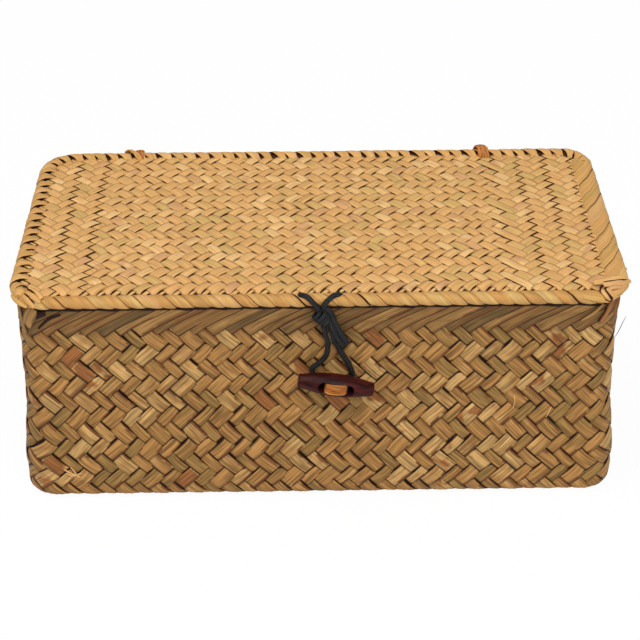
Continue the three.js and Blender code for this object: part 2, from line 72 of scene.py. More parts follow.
# What only the pieces have, and not the solids
FOOT_RADIUS = 5.0 * MM
LEFT_SWELL = 1.0 * MM  # how far the plait of each end stands out more than the front's
RIGHT_SWELL = 0.2 * MM
FRONT_DROP = 1.1 * MM  # how far the rim's front hangs lower than its other sides

# The hinge ties and the toggle, as their solids have them
TIE_PLACES = {"left": -82.0 * MM, "right": 75.8 * MM}
TOGGLE_PLACE = Vector((6.4, -71.7, 58.5)) * MM
TOGGLE_TILT = math.radians(9)


def linear_colour(red, green, blue):
    """A colour as it is seen, from 0 to 255, in linear light."""
    shares = (red / 255, green / 255, blue / 255)
    return tuple(c / 12.92 if c <= 0.04045 else ((c + 0.055) / 1.055) ** 2.4 for c in shares)


def label(name):
    """The words that a user sees for a value."""
    return name.replace("_", " ").capitalize()


def colour_property(name, description, seen):
    """A colour that a user may change."""
    return FloatVectorProperty(
        name=label(name),
        description=description,
        subtype="COLOR",
        size=3,
        min=0,
        max=1,
        default=linear_colour(*seen),
    )


def length_property(name, description, millimetres):
    """A length that a user may change."""
    return FloatProperty(
        name=label(name),
        description=description,
        subtype="DISTANCE",
        unit="LENGTH",
        precision=5,
        min=0,
        default=millimetres * MM,
    )


LENGTHS = {  # in millimetres
    "wall_thickness": ("Thickness of one wall strip", 0.38),
    "wall_lift": ("How far a wall strip rises over the one it crosses", 0.45),
    "lid_spacing": ("Distance between floats along a row of the lid", 6.0),
    "lid_thickness": ("Thickness of one lid strip", 0.32),
    "lid_lift": ("How far a lid strip rises over the one it crosses", 0.48),
    "base_spacing": ("Distance between floats along a row of the base", 7.4),
    "wrap_thickness": ("Thickness of a strip wound round the rim", 0.35),
    "cord_radius": ("Radius of the waxed cord", 1.14),
    "strand_width": ("Width of one grass strand of a hinge tie", 0.95),
}
COLOURS = {  # as they are seen, from 0 to 255
    "wall_base": ("Most strips of the wall", (166, 120, 65)),
    "wall_pale": ("The paler strips of the wall", (190, 150, 92)),
    "wall_green": ("Strips of the wall that dried green", (145, 111, 59)),
    "wall_warm": ("The few red-brown strips", (146, 92, 47)),
    # The folded edge's tones are darker than the wall's: painted shade from the lid's overhang
    "edge_base": ("Most strips of the folded edge", (134, 96, 51)),
    "edge_pale": ("The paler strips of the folded edge", (160, 121, 68)),
    "edge_green": ("Strips of the folded edge that dried green", (107, 81, 44)),
    "lid_base": ("Most strips of the lid", (220, 168, 104)),
    "lid_pale": ("The paler strips of the lid", (232, 187, 124)),
    "lid_green": ("Strips of the lid that dried grey-green", (208, 168, 102)),
    "lid_warm": ("The pinkish brown strips of the lid", (212, 160, 106)),
    # The front rim's tones are darker than the side rim's: painted shade on the front of the roll
    "rim_base": ("Strips wound round the rim's front", (194, 142, 78)),
    "rim_pale": ("The paler strips there", (206, 160, 94)),
    "side_rim_base": ("Strips wound round the rim's sides and rear", (212, 160, 94)),
    "side_rim_pale": ("The paler strips there", (222, 175, 109)),
    "side_rim_green": ("Strips there that dried grey-green", (199, 157, 89)),
    "gap": ("Shade between the strips", (38, 16, 6)),
    "lid_gap": ("Shade between the strips of the lid and its rim", (58, 27, 9)),
    "tie": ("Strands of the hinge ties", (204, 130, 66)),
    "stitch": ("Strands of the toggle's stitch", (174, 100, 34)),
    "stitch_pale": ("The paler strands of the stitch", (214, 148, 76)),
    "wood_dark": ("Darkest grain of the toggle", (28, 9, 9)),
    "wood_light": ("Lightest grain of the toggle", (76, 28, 25)),
    "wood_pores": ("Pores of the toggle", (24, 8, 8)),
    # Painted shade deep in the toggle's slot and its end holes
    "wood_sunk": ("Wood deep in the toggle's slot", (14, 6, 5)),
    "cord": ("The waxed cord", (21, 21, 22)),
}


class BasketSizes(bpy.types.PropertyGroup):
    """Sizes of the strips, strands and cord."""

    wall_strips: IntProperty(
        name="Wall strips",
        description="Strips that climb the wall in each direction",
        default=98,
        min=20,
    )
    fold_lean: FloatProperty(
        name="Edge lean",
        description="How far an edge strip runs sideways for each step up",
        default=1.55,
    )
    lid_steepness: FloatProperty(
        name="Lid steepness",
        description="How steeply the lid's strips cross it: 1 is half a right angle",
        default=1.11,
    )
    __annotations__.update({name: length_property(name, *values) for name, values in LENGTHS.items()})


class BasketColours(bpy.types.PropertyGroup):
    """Colours of the grass, the wood and the cord."""

    __annotations__ = {name: colour_property(name, *values) for name, values in COLOURS.items()}


def sizes():
    """The sizes in use."""
    return bpy.context.scene.basket_sizes


def colours():
    """The colours in use."""
    return bpy.context.scene.basket_colours


# Small numbers


def chance(*keys):
    """A steady random number from 0 to 1 for some whole numbers."""
    value = 43758.5453 * math.sin(sum(k * w for k, w in zip(keys, (12.9898, 78.233, 37.719, 9.151))))
    return value - math.floor(value)


def swing(*keys):
    """A steady random number from -1 to 1."""
    return 2 * chance(*keys) - 1


def smooth(value, low, high):
    """0 below low, 1 above high, and an even curve between them."""
    share = min(max((value - low) / (high - low), 0), 1)
    return share * share * (3 - 2 * share)


def mix(a, b, share):
    """The value a given share of the way from a to b."""
    return a + (b - a) * share


# Meshes


def start_piece():
    """An empty mesh whose points hold their place on their strip and how the strip looks there: tone, painted
    shade and outline.
    """
    bm = bmesh.new()
    bm.verts.layers.float_vector.new("strip")
    bm.verts.layers.float_vector.new("look")
    bm.verts.layers.float_vector.new("outward")
    return bm


def add_sheet(bm, steps, sides, place):
    """A sheet of quads. place(u, v) gives a point, its strip and its look: u is 0 to 1, and v is -1 to 1."""
    strip = bm.verts.layers.float_vector["strip"]
    look = bm.verts.layers.float_vector["look"]
    sheet = bmesh.ops.create_grid(bm, x_segments=steps, y_segments=sides, size=1)["verts"]
    for vert in sheet:
        vert.co, vert[strip], vert[look] = place((vert.co.x + 1) / 2, vert.co.y)
    return sheet


def add_tube(bm, route, steps, sides, section, tone=0.5, seed=0.0, side=Vector((1, 0, 0)), painted_shade=0.0):
    """A closed tube along a route. section(u, angle) gives its half width and its half thickness. Its look
    holds its tone and its painted shade.
    """
    points = [route(step / steps) for step in range(steps + 1)]
    reach = [0.0]
    for before, after in zip(points, points[1:]):
        reach.append(reach[-1] + (after - before).length)
    frames = []
    across = side
    for before, after in zip(points[:1] + points[:-1], points[1:] + points[-1:]):
        heading = (after - before).normalized()
        across = (across - heading * across.dot(heading)).normalized()
        frames.append((across, heading.cross(across)))

    def place(u, v):
        step = round(u * steps)
        angle = HALF_TURN * v
        wide, thick = section(u, angle)
        right, up = frames[step]
        beside = wide * math.cos(angle)
        above = thick * math.sin(angle)
        point = points[step] + right * beside + up * above
        return point, (reach[step], beside, above + seed), (tone, painted_shade, 0)

    skin = add_sheet(bm, steps, sides, place)
    bmesh.ops.remove_doubles(bm, verts=skin, dist=1e-7)
    rims = [edge for edge in bm.edges if edge.is_boundary]
    bmesh.ops.holes_fill(bm, edges=rims, sides=0)


def even(wide, thick):
    """The section of a tube whose half width and half thickness stay the same."""
    return lambda u, angle: (wide, thick)


UNDERSIDE = 2.2 * MM  # below this the plait lies under the base


def upward(place):
    """The upper side, which the shades of a level plait are made for."""
    return Vector((0, 0, 1))


def away(place):
    """The outer side of the wall, which is its lower side under the base."""
    if place.z < UNDERSIDE:
        return Vector((0, 0, -1))
    return Vector((place.x, 2 * place.y, 0)).normalized()


def add_object(name, data):
    """A new object in the scene."""
    made = bpy.data.objects.new(name, data)
    bpy.context.scene.collection.objects.link(made)
    return made


def add_mesh(bm, name, material):
    """A new object with a mesh and a material."""
    mesh = bpy.data.meshes.new(name)
    bm.to_mesh(mesh)
    bm.free()
    mesh.materials.append(material)
    return add_object(name, mesh)


def finish_piece(bm, name, body, material, slot, nodes=(), thickness=0.0, outward=None):
    """Makes a piece of a mesh: it rides on a body and stands for the solids that it covers.

    For a plait, outward gives the side that its shades are made for. Behind it they are the other way round.
    """
    if outward:
        layer = bm.verts.layers.float_vector["outward"]
        for vert in bm.verts:
            vert[layer] = outward(vert.co)
    if not thickness:
        bmesh.ops.recalc_face_normals(bm, faces=bm.faces)
    piece = add_mesh(bm, name, material)
    piece.data.shade_smooth()
    if thickness:
        shell = piece.modifiers.new("Strip thickness", "SOLIDIFY")
        shell.thickness = thickness
        shell.offset = 0
    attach(piece, body)
    if nodes:
        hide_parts(*nodes)


def finish_plait(name, strips, body, nodes, material, slot, thickness, outward):
    """Makes the two pieces of a plait from strips(family). Its rising strips stand for the solids."""
    for family, way in enumerate(("falling", "rising")):
        title = f"{name}_strips_{way}"
        covered = nodes if family else []
        finish_piece(strips(family), title, body, material, slot, covered, thickness, outward)


def smooth_route(points):
    """A function of 0 to 1 that passes smoothly through points, for a route that doesn't close."""
    points = [Vector(p) for p in points]
    spaced = [2 * points[0] - points[1], *points, 2 * points[-1] - points[-2]]

    def at(share):
        span = min(int(share * (len(points) - 1)), len(points) - 2)
        t = share * (len(points) - 1) - span
        a, b, c, d = spaced[span : span + 4]
        knots = [0.0]
        for p, q in ((a, b), (b, c), (c, d)):
            knots.append(knots[-1] + max(math.sqrt((q - p).length), 1e-6))
        t = mix(knots[1], knots[2], t)
        ab = a.lerp(b, (t - knots[0]) / (knots[1] - knots[0]))
        bc = b.lerp(c, (t - knots[1]) / (knots[2] - knots[1]))
        cd = c.lerp(d, (t - knots[2]) / (knots[3] - knots[2]))
        abc = ab.lerp(bc, (t - knots[0]) / (knots[2] - knots[0]))
        bcd = bc.lerp(cd, (t - knots[1]) / (knots[3] - knots[1]))
        return abc.lerp(bcd, (t - knots[1]) / (knots[2] - knots[1]))

    return at


class Ring:
    """A level rounded rectangle, followed to the right along the front and on round the basket."""

    def __init__(self, half_width, half_depth, corners):
        self.sides = []
        self.length = 0.0
        for side, (x, y) in enumerate(((-1, -1), (1, -1), (1, 1), (-1, 1))):
            radius = corners[side]
            run = 2 * (half_depth if side % 2 else half_width) - radius - corners[(side + 1) % 4]
            centre = Vector((x * (half_width - radius), y * (half_depth - radius), 0))
            arc = radius * HALF_TURN / 2
            self.sides.append((self.length, arc, centre, radius, side * HALF_TURN / 2))
            self.length += arc + run

    def at(self, distance):
        """The point and the outward direction there. It starts where the left side meets its front corner."""
        distance %= self.length
        start, arc, centre, radius, turn = [side for side in self.sides if side[0] <= distance][-1]
        beyond = distance - start
        angle = turn - (HALF_TURN / 2) * (1 - min(beyond / arc, 1))
        outward = Vector((math.sin(angle), -math.cos(angle), 0))
        heading = Vector((math.cos(turn), math.sin(turn), 0))
        return centre + outward * radius + heading * max(beyond - arc, 0), outward


# Plaiting

FLOAT_LEVEL = 0.92  # how high a float lies at a crossing, as a share of the plait's lift
TURN_LEVEL = 0.45  # and beside a place where it turns up or down
TURN_REACH = 0.17  # how far those places are sampled from the turn, in crossings


def strip_profile(first, last, row_of, family, share, shades):
    """Where a strip is sampled, how high it lies there, its row and how dark its painted shade is there.

    It is sampled at each crossing, and to both sides of each place where it starts or stops passing over.
    The shades are how dark its painted shade is where it comes up and where it goes down.
    """
    profile = []
    for number in range(first, last + 1):
        row, onward = row_of(number), row_of(number + 1)
        here = 1 if twill(row) != bool(family) else -1
        beyond = 1 if twill(onward) != bool(family) else -1
        turn = number + 0.5
        if here > beyond:
            turn = number + 1 - 0.5 * share(number + 1)
        elif here < beyond:
            turn = number + 0.5 * share(number)
        bend = 1.0 if here == beyond else TURN_LEVEL
        shade = 1.0 if here == beyond else shades[here > beyond]
        profile.append((number, FLOAT_LEVEL * here, row, (1 - FLOAT_LEVEL * here) / 2))
        profile.append((turn - TURN_REACH, bend * here, row, shade * (1 - bend * here) / 2))
        profile.append((turn + TURN_REACH, bend * beyond, onward, shade * (1 - bend * beyond) / 2))
    return profile[:-2]


def twill(number):
    """Over two strips, under two."""
    return number % 4 < 2


def strip_tone(family, index, row, accents):
    """The tone of one float: mostly its strip's own, a little of its own, and now and then an odd one."""
    own = chance(family + 1, index, 3)
    tone = 0.05 + 0.78 * (0.5 * own + 0.5 * chance(family + 1, index, row // 2, 5))
    if chance(family + 5, index, row // 2) < accents:
        tone = 0.84 + 0.16 * chance(index, row // 2, 9)
    return tone


def ripple(point, size, scale):
    """A slow unevenness of hand work."""
    return size * noise.noise(Vector(point) / scale)


def wall_swell(height):
    """How far the wall stands out beyond its top, at a height."""
    belly = BELLY_BULGE * (1 - smooth(height, BELLY_HEIGHT, WAIST_HEIGHT))
    return belly - BELLY_TUCK * (1 - smooth(height, 0, BELLY_HEIGHT))


def end_swell(outward):
    """How far the plait stands out more towards an end of the basket."""
    return (LEFT_SWELL if outward.x < 0 else RIGHT_SWELL) * outward.x**2


WALL_RING = Ring(WALL_HALF_WIDTH, WALL_HALF_DEPTH, (WALL_CORNER,) * 4)
LID_RING = Ring(ROLL_HALF_WIDTH, ROLL_HALF_DEPTH, LID_CORNERS)


def wall_point(distance, height, lift):
    """A point of the wall, round its foot and under its base for a height below the foot's."""
    rim, outward = WALL_RING.at(distance)
    turned = min(max((FOOT_RADIUS - height) / FOOT_RADIUS, 0), HALF_TURN / 2)
    under = max(FOOT_RADIUS - height - FOOT_RADIUS * HALF_TURN / 2, 0)
    rise = max(height, FOOT_RADIUS) - FOOT_RADIUS * math.sin(turned)
    reach = wall_swell(rise) + end_swell(outward) - FOOT_RADIUS * (1 - math.cos(turned)) - under
    wave = ripple((rim.x, rim.y, height), 0.5 * MM, 45 * MM) * smooth(height, 0, 12 * MM)
    point = rim + outward * (reach + wave + lift * math.cos(turned))
    point.z = rise - lift * math.sin(turned)
    return point


WEAVE_START = 1.6 * MM  # where the first wide strip stands along the front
ROW_HEIGHT = 76.3 * MM  # middle of the row of falling floats just under the folded edge
CROWN = 0.16 * MM  # how far the middle of a float stands higher than its sides
DIAGONAL = math.sqrt(0.5)
UNDER_MIDDLE = -0.45 * MM  # middle of the wall's strips where they run under the base, from its lower face
WALL_MIDDLE = -0.5 * MM  # and on the wall, from its outer face
WALL_CROSSINGS = (-24, 3)  # from under the base to behind the folded edge
# Painted shade where a strip turns: deeper where its slope faces away from the light, at the lower ends of
# the wall's floats and the rear ends of a level plait's.
WALL_SHADES = (1.35, 0.95)  # how dark a strip is where it comes up, and where it goes down
LEVEL_SHADES = (0.85, 1.4)  # the same in the lid and the base
LID_LEVEL = 96.7 * MM  # height of the middle of the lid's plait
BASE_LEVEL = 1.45 * MM  # and of the base's


def wall_share(index):
    """How much of its even share of the wall a strip takes: wide and narrow ones take turns."""
    return 1.2 if index % 2 == 0 else 0.9


def wall_strips(family):
    """The strips of the wall that climb one way: family 0 falls to the right, and 1 rises."""
    count = sizes().wall_strips
    step = WALL_RING.length / count / 2
    slope = 1 if family else -1
    bm = start_piece()
    for index in range(count):
        wide = index % 2 == 0
        half = step * DIAGONAL * (wall_share(index) + 0.04 * swing(index, family))
        proud = 0.08 * MM if wide else -0.06 * MM
        start = chance(index, family, 7)
        shares = lambda n: wall_share(index + n)
        profile = strip_profile(*WALL_CROSSINGS, lambda n: n, family, shares, WALL_SHADES)

        def place(u, v):
            along, level, row, shade = profile[round(u * (len(profile) - 1))]
            width = half * (1 + 0.1 * swing(index, row // 2, family + 11))
            climb = (along - 0.5) * step
            distance = WEAVE_START + (2 * index + slope * along) * step
            bow = 0.32 * MM * max(level, 0) * swing(index, row // 2, family + 31)
            reach = (v * width + bow) * DIAGONAL
            crown = CROWN * (1 - v * v) * max(level, 0)
            tilt = 0.11 * MM * v + 0.07 * MM * v * swing(row // 2, index, 17)
            under_base = smooth(-climb, ROW_HEIGHT, ROW_HEIGHT + 4 * MM)
            on_wall = WALL_MIDDLE + sizes().wall_lift * level + proud + crown + tilt
            height = ROW_HEIGHT + climb - slope * reach
            warp = ripple((distance, height, family), 0.7 * MM, 16 * MM)
            point = wall_point(distance + reach + warp, height, mix(on_wall, UNDER_MIDDLE, under_base))
            tone = strip_tone(family, index, row, 0.06) + (0.06 if wide else -0.1)
            strip = (along * step * math.sqrt(2), v * width, start)
            outline = v * (0.84 + 0.24 * chance(index, row // 2, family + 51))
            return point, strip, (tone, shade, outline)

        add_sheet(bm, len(profile) - 1, 4, place)
    return bm


def edge_strips():
    """Rising strips that leave the wall's top row, lean over, cross its edge and go down inside."""
    count = sizes().wall_strips
    step = WALL_RING.length / count / 2
    bend = 1.6 * MM
    top = BASKET_TOP - 0.25 * MM - bend
    outer = top - ROW_HEIGHT
    total = outer + HALF_TURN * bend + 12 * MM
    bm = start_piece()
    for index in range(count):
        seed = chance(index, 91)
        width = step * DIAGONAL * (wall_share(index) + 0.08 * swing(index, 23))
        tone = 0.06 + 0.6 * chance(index, 41) + (0.22 if chance(index, 43) < 0.12 else 0)
        shift = 0.5 * MM * swing(index, 47)

        def place(u, v):
            rise = total * u
            slant = mix(1.0, sizes().fold_lean, smooth(rise, 2 * MM, 11 * MM))
            steep = math.hypot(slant, 1)
            path = rise - v * width * slant / steep
            run = rise * mix(1.0, sizes().fold_lean, smooth(rise, 2 * MM, 18 * MM))
            distance = WEAVE_START + (2 * index + 0.5) * step + run
            distance += v * width / steep + shift * smooth(rise, 0, 9 * MM)
            turned = min(max((path - outer) / bend, 0), HALF_TURN)
            down = max(path - outer - HALF_TURN * bend, 0)
            tuck = 1.75 * MM * (1 - smooth(rise, 2.7 * MM, 4.9 * MM))
            shingle = 0.24 * MM * v + 0.14 * MM * (1 - v * v) + 0.1 * MM * swing(index, 31)
            radius = bend + shingle - tuck
            rim, outward = WALL_RING.at(distance)
            wave = ripple((rim.x, rim.y, top), 0.3 * MM, 45 * MM)
            stand = -1.05 * MM + 0.6 * end_swell(outward)
            point = rim + outward * (stand + radius * math.cos(turned) + wave)
            point.z = min(ROW_HEIGHT + path, top) + radius * math.sin(turned) - down
            # Painted shadow under the rim: a dark band just below the strip's outer bend, lower at the front
            # where the rim hangs lower, fading out before the top and inside. The strip is also painted in
            # shade at its lower start, where it tucks under the wall's top row.
            front = front_drop(outward)
            shaded = smooth(path, outer + 0.1 * MM - front, outer + 0.9 * MM - 1.1 * front)
            shaded *= 1 - smooth(path, outer + 1.8 * MM, outer + 3.4 * MM)
            painted_shade = 1 - smooth(rise, 2.8 * MM, 4.4 * MM) + 0.9 * shaded
            return point, (path * steep, v * width, seed), (tone, painted_shade, 1.08 * v)

        add_sheet(bm, 28, 4, place)
    return bm


def inside_panel(x, y, half_width, half_depth, front, rear):
    """If a point lies in a level rounded rectangle."""
    corner = front if y < 0 else rear
    beyond = Vector((max(abs(x) - half_width + corner, 0), max(abs(y) - half_depth + corner, 0)))
    return beyond.length <= corner


def level_strips(family, spacing, steepness, bounds, surface, row_of, share, accents):
    """Strips of a level plait that run one way, out to its bounds: family 0 falls to the right, 1 rises."""
    step = spacing / 2
    slope = 1 if family else -1
    limit = math.ceil(sum(bounds[:2]) / spacing)
    slant = math.hypot(steepness, 1)
    bm = start_piece()
    for index in range(-limit, limit + 1):

        def middle(along):
            return (2 * index + slope * along) * step, along * step * steepness

        crossings = [n for n in range(-2 * limit, 2 * limit + 1) if inside_panel(*middle(n), *bounds)]
        if len(crossings) < 2:
            continue
        seed = chance(index, family, 19)
        taken = share(index) + 0.08 * swing(index, family, 2)
        rows = lambda n: row_of(index, slope, n)
        shares = lambda n: share(index + n)
        profile = strip_profile(crossings[0], crossings[-1], rows, family, shares, LEVEL_SHADES)

        def place(u, v):
            along, level, row, shade = profile[round(u * (len(profile) - 1))]
            width = step * steepness / slant * taken * (1 + 0.12 * swing(index, row // 2, family + 3))
            x, y = middle(along)
            x += v * width * steepness / slant
            y -= slope * v * width / slant
            crown = CROWN * (1 - v * v) * max(level, 0)
            tilt = 0.07 * MM * v + 0.08 * MM * v * swing(row // 2, index, 29)
            point = surface(x, y, level, crown + tilt)
            tone = strip_tone(family + 4, index, row, accents)
            outline = v * (0.6 + 0.5 * chance(index, row // 2, family + 51))
            return point, (along * step * slant, v * width, seed), (tone, shade, outline)

        add_sheet(bm, len(profile) - 1, 4, place)
    return bm


LEFT_ZONE = -93 * MM  # beyond these the rows of the lid run from front to back
RIGHT_ZONE = 80 * MM


def lid_row(index, slope, number):
    """The row of a crossing. Rows run along the middle of the lid, and from front to back near its ends."""
    column = 2 * index + slope * number
    x = column * sizes().lid_spacing / 2
    if x < LEFT_ZONE:
        return column - 1
    if x > RIGHT_ZONE:
        return column + 1
    return number


def lid_share(index):
    """How much of its even share of the lid a strip takes."""
    return 1.16 if index % 2 == 0 else 1.0


def lid_surface(x, y, level, extra):
    """A point of the lid's plait, with its slow unevenness."""
    warp = ripple((x, y, 0), 0.9 * MM, 17 * MM)
    drift = ripple((y, x, 5), 0.9 * MM, 21 * MM)
    rise = ripple((x, y, 9), 0.35 * MM, 38 * MM) - 0.9 * MM * smooth(-y, 60.5 * MM, 63.5 * MM)
    return Vector((x + warp, y + drift, LID_LEVEL + rise + sizes().lid_lift * level + extra))


def base_surface(x, y, level, extra):
    """A point of the base's plait."""
    return Vector((x, y, BASE_LEVEL + 0.4 * MM * level + extra))


# The wound rim of the lid


def rim_spans():
    """Start and end of each side of the rim along its ring. The rear has its corners."""
    starts = [side[0] for side in LID_RING.sides]
    arcs = [side[1] for side in LID_RING.sides]
    front_start = 13.0 * MM
    front_end = starts[1] + 1.5 * MM
    rear_end = starts[3] + arcs[3]
    return {
        "front": (front_start, front_end),
        "right": (front_end + 5.0 * MM, starts[2]),
        "rear": (starts[2], rear_end),
        "left": (rear_end, LID_RING.length + 12.0 * MM),
    }


def front_drop(outward):
    """How much lower the rim hangs where it faces a direction."""
    return FRONT_DROP * smooth(-outward.y, 0.6, 1.0)


TAPER_MIDDLE = math.radians(148)  # where the wound strips narrow, round the roll from its outer side
TAPER_SPREAD = math.radians(48)


def wound_strips(start, end, family, pitch, lean, taper=0.0, inner=1.0, outer=1.0, crown=1.0, relief=1.0):
    """Strips wound round the rim's core, which slant as they go round it.

    They narrow by a share on top of the rim. Its inner, outer and upper halves and the relief of its strips
    are stretched by a factor.
    """
    bm = start_piece()
    wraps = math.ceil((end - start) / pitch)
    for index in range(-1, wraps + math.ceil(lean) + 1):
        seed = chance(index, family, 61)
        tone = 0.15 + 0.5 * chance(index, family, 67)
        if chance(index, family, 71) < 0.08:
            tone = 0.83
        width = 0.57 + 0.05 * swing(index, family, 73)
        shift = 0.1 * swing(index, family, 79)
        proud = 0.1 * MM * relief * swing(index, family, 83)
        edge = 1.2 * MM / (pitch * width)

        def place(u, v):
            angle = FULL_TURN * (1.06 * u - 0.28)
            narrow = 1 - taper * math.exp(-(((angle - TAPER_MIDDLE) / TAPER_SPREAD) ** 2))
            travel = index + 0.5 + shift + v * width * narrow - lean * angle / FULL_TURN
            distance = min(max(start + travel * pitch, start - 1.5 * MM), end + 1.5 * MM)
            middle, outward = LID_RING.at(distance)
            crest = 0.46 * smooth(v, -1.0, 0.0) - 0.4 * smooth(v, 0.5, 1.0)
            radius = ROLL_RADIUS - 0.72 * MM + mix(0.2, crest, relief) * MM + proud
            inward = mix(1, inner, smooth(-math.cos(angle), 0, 1))
            across = radius * inward * mix(1, outer, smooth(math.cos(angle), 0, 1))
            up = radius * mix(1, crown, smooth(math.sin(angle), 0, 1))
            ripples = ripple((distance, angle, 3), 0.25 * MM, 9 * MM)
            point = middle + outward * ((across + ripples) * math.cos(angle))
            point.z = ROLL_HEIGHT - front_drop(outward) + (up + ripples) * math.sin(angle)
            strip = (radius * angle, v * pitch * width, seed)
            # Painted shade: darker along both edges of each wrap, where it meets the next, and on the
            # underside of the roll.
            painted_shade = mix(0.5, 0.85, relief) * (1 - smooth(v, -1.0, edge - 1.0))
            painted_shade += 0.6 * smooth(v, 1.0 - edge / 2, 1.0) + 0.35 * smooth(-math.sin(angle), 0.5, 1.0)
            return point, strip, (tone, painted_shade, 0.6 * v)

        add_sheet(bm, 18, 6, place)
    return bm


def rim_shade_core():
    """The core under the wound strips, painted wholly in the gap's colour: painted shade that shows between
    them.
    """
    bm = start_piece()

    def place(u, v):
        middle, outward = LID_RING.at(u * LID_RING.length * 0.999999)
        angle = HALF_TURN * v
        radius = ROLL_RADIUS - 0.85 * MM
        point = middle + outward * (radius * math.cos(angle))
        point.z = ROLL_HEIGHT - front_drop(outward) + radius * 0.75 * math.sin(angle)
        return point, (u, v, 0), (0.2, 0.8, 0)

    add_sheet(bm, 220, 8, place)
    bmesh.ops.remove_doubles(bm, verts=bm.verts, dist=1e-6)
    return bm


# Loose strips


def ribbon(bm, points, half, thick, tone, seed, painted_shade, facing):
    """A short strip along some points, narrower towards its ends. Its flat side faces a direction."""
    blunt = 0.2 if thick > half / 2 else 0.6

    def section(u, angle):
        fullness = mix(blunt, 1.0, max(math.sin(HALF_TURN * u), 0) ** 0.6)
        return half * fullness, thick * fullness

    side = facing.cross(points[-1] - points[0])
    add_tube(bm, smooth_route(points), 18, 8, section, tone, seed, side, painted_shade)


# Each is half its width, half its thickness, its tone, how far it is darkened as painted shade and its
# places, in millimetres.
# Strips that cross each other at the front corners of the rim, and thin dark ribbons of painted shade in the
# creases between them
RIM_KNOTS = (
    (2.3, 2, 0.3, 0.3, -121.6, -61.8, 97.3, -119.2, -62.6, 98.2, -116.8, -63.4, 97.7),
    (0.35, 0.2, 0.2, 1, -121.4, -60, 98.6, -119, -59.8, 99.6, -116.8, -61, 99.6, -115.8, -63.4, 99),
    (1.3, 0.3, 0.62, 0, -117.6, -60.2, 98.6, -115, -62.2, 98.9, -112.5, -64.8, 98.8, -110.1, -67.1, 97.7),
    (1.3, 0.3, 0.5, 0, -117, -63.2, 98.5, -115.7, -64.9, 98.5, -113.4, -66.7, 98.2, -110.8, -68.3, 96.4),
    (1.3, 0.3, 0.4, 0.15, -118.2, -64.6, 97.6, -116.6, -66.3, 97.3, -115.2, -67.4, 96.2, -113.2, -68.4, 94.3),
    (1.2, 0.3, 0.2, 0.32, -123, -60.4, 96, -121.2, -63.2, 95.3, -119, -65.5, 94.7, -116.2, -67.4, 94),
    (0.35, 0.2, 0.2, 1, -116.6, -61.8, 99.5, -114.2, -64.4, 99.4, -111.8, -66.8, 98.2),
    (0.35, 0.2, 0.2, 1, -117.6, -64.2, 98.6, -115.3, -66.5, 98, -112.9, -68.5, 95.9),
    (1.6, 0.3, 0.12, 0, 104.8, -67.7, 96.4, 108.9, -68.4, 96, 112.6, -68.6, 95.3, 115.4, -67.9, 94.2),
    (0.5, 0.2, 0.2, 1, 111.5, -67.5, 98.4, 111.9, -66.1, 99, 113.2, -63.9, 98.9, 114.7, -62.3, 98.5),
    (1.6, 0.3, 0.7, 0, 109.8, -61.4, 98.8, 115.2, -60.2, 99.1, 119.8, -58.3, 98.9, 124.2, -54.8, 97.2),
    (1.3, 0.3, 0.88, 0.3, 113.2, -63.6, 98.9, 116.9, -63.2, 99.2, 120.6, -61.6, 98.8, 124.2, -58.8, 97),
    (1, 0.3, 0.88, 0.36, 115.2, -65.6, 98.4, 118, -64.6, 98.6, 121, -63, 97.6, 122.8, -61.4, 96.4),
    (0.3, 0.2, 0.2, 1, 113.6, -61.7, 99.5, 117.6, -61.2, 99.6, 121.6, -59.2, 98.9, 124.4, -56.8, 97.6),
    (1.2, 0.5, 0.95, 0.3, 112.4, -66.2, 98.3, 113.5, -67.5, 97.3, 114.7, -68, 96, 116.1, -67.7, 94.4),
    (1.1, 0.4, 0.95, 0.24, 114.6, -65.4, 98.4, 115.8, -66.4, 97.5, 117, -66.9, 96.3, 118.2, -66.4, 94.8),
    (0.35, 0.2, 0.2, 1, 113.6, -67.1, 98.4, 115, -67.8, 97, 116, -68.2, 95.4, 116.9, -67.9, 94.4),
    (0.35, 0.2, 0.2, 1, 113.4, -68.7, 95.2, 115.2, -68.4, 94.3, 116.9, -67.9, 94.7),
    (0.9, 0.4, 0.4, 0.1, 122.6, -49.6, 98.3, 124.2, -47.7, 97.6, 125.4, -46.4, 97),
    (1.2, 0.5, 0.3, 0.3, 121.6, -60.6, 98, 123.8, -58, 97.3, 125.5, -56, 96.6),
)
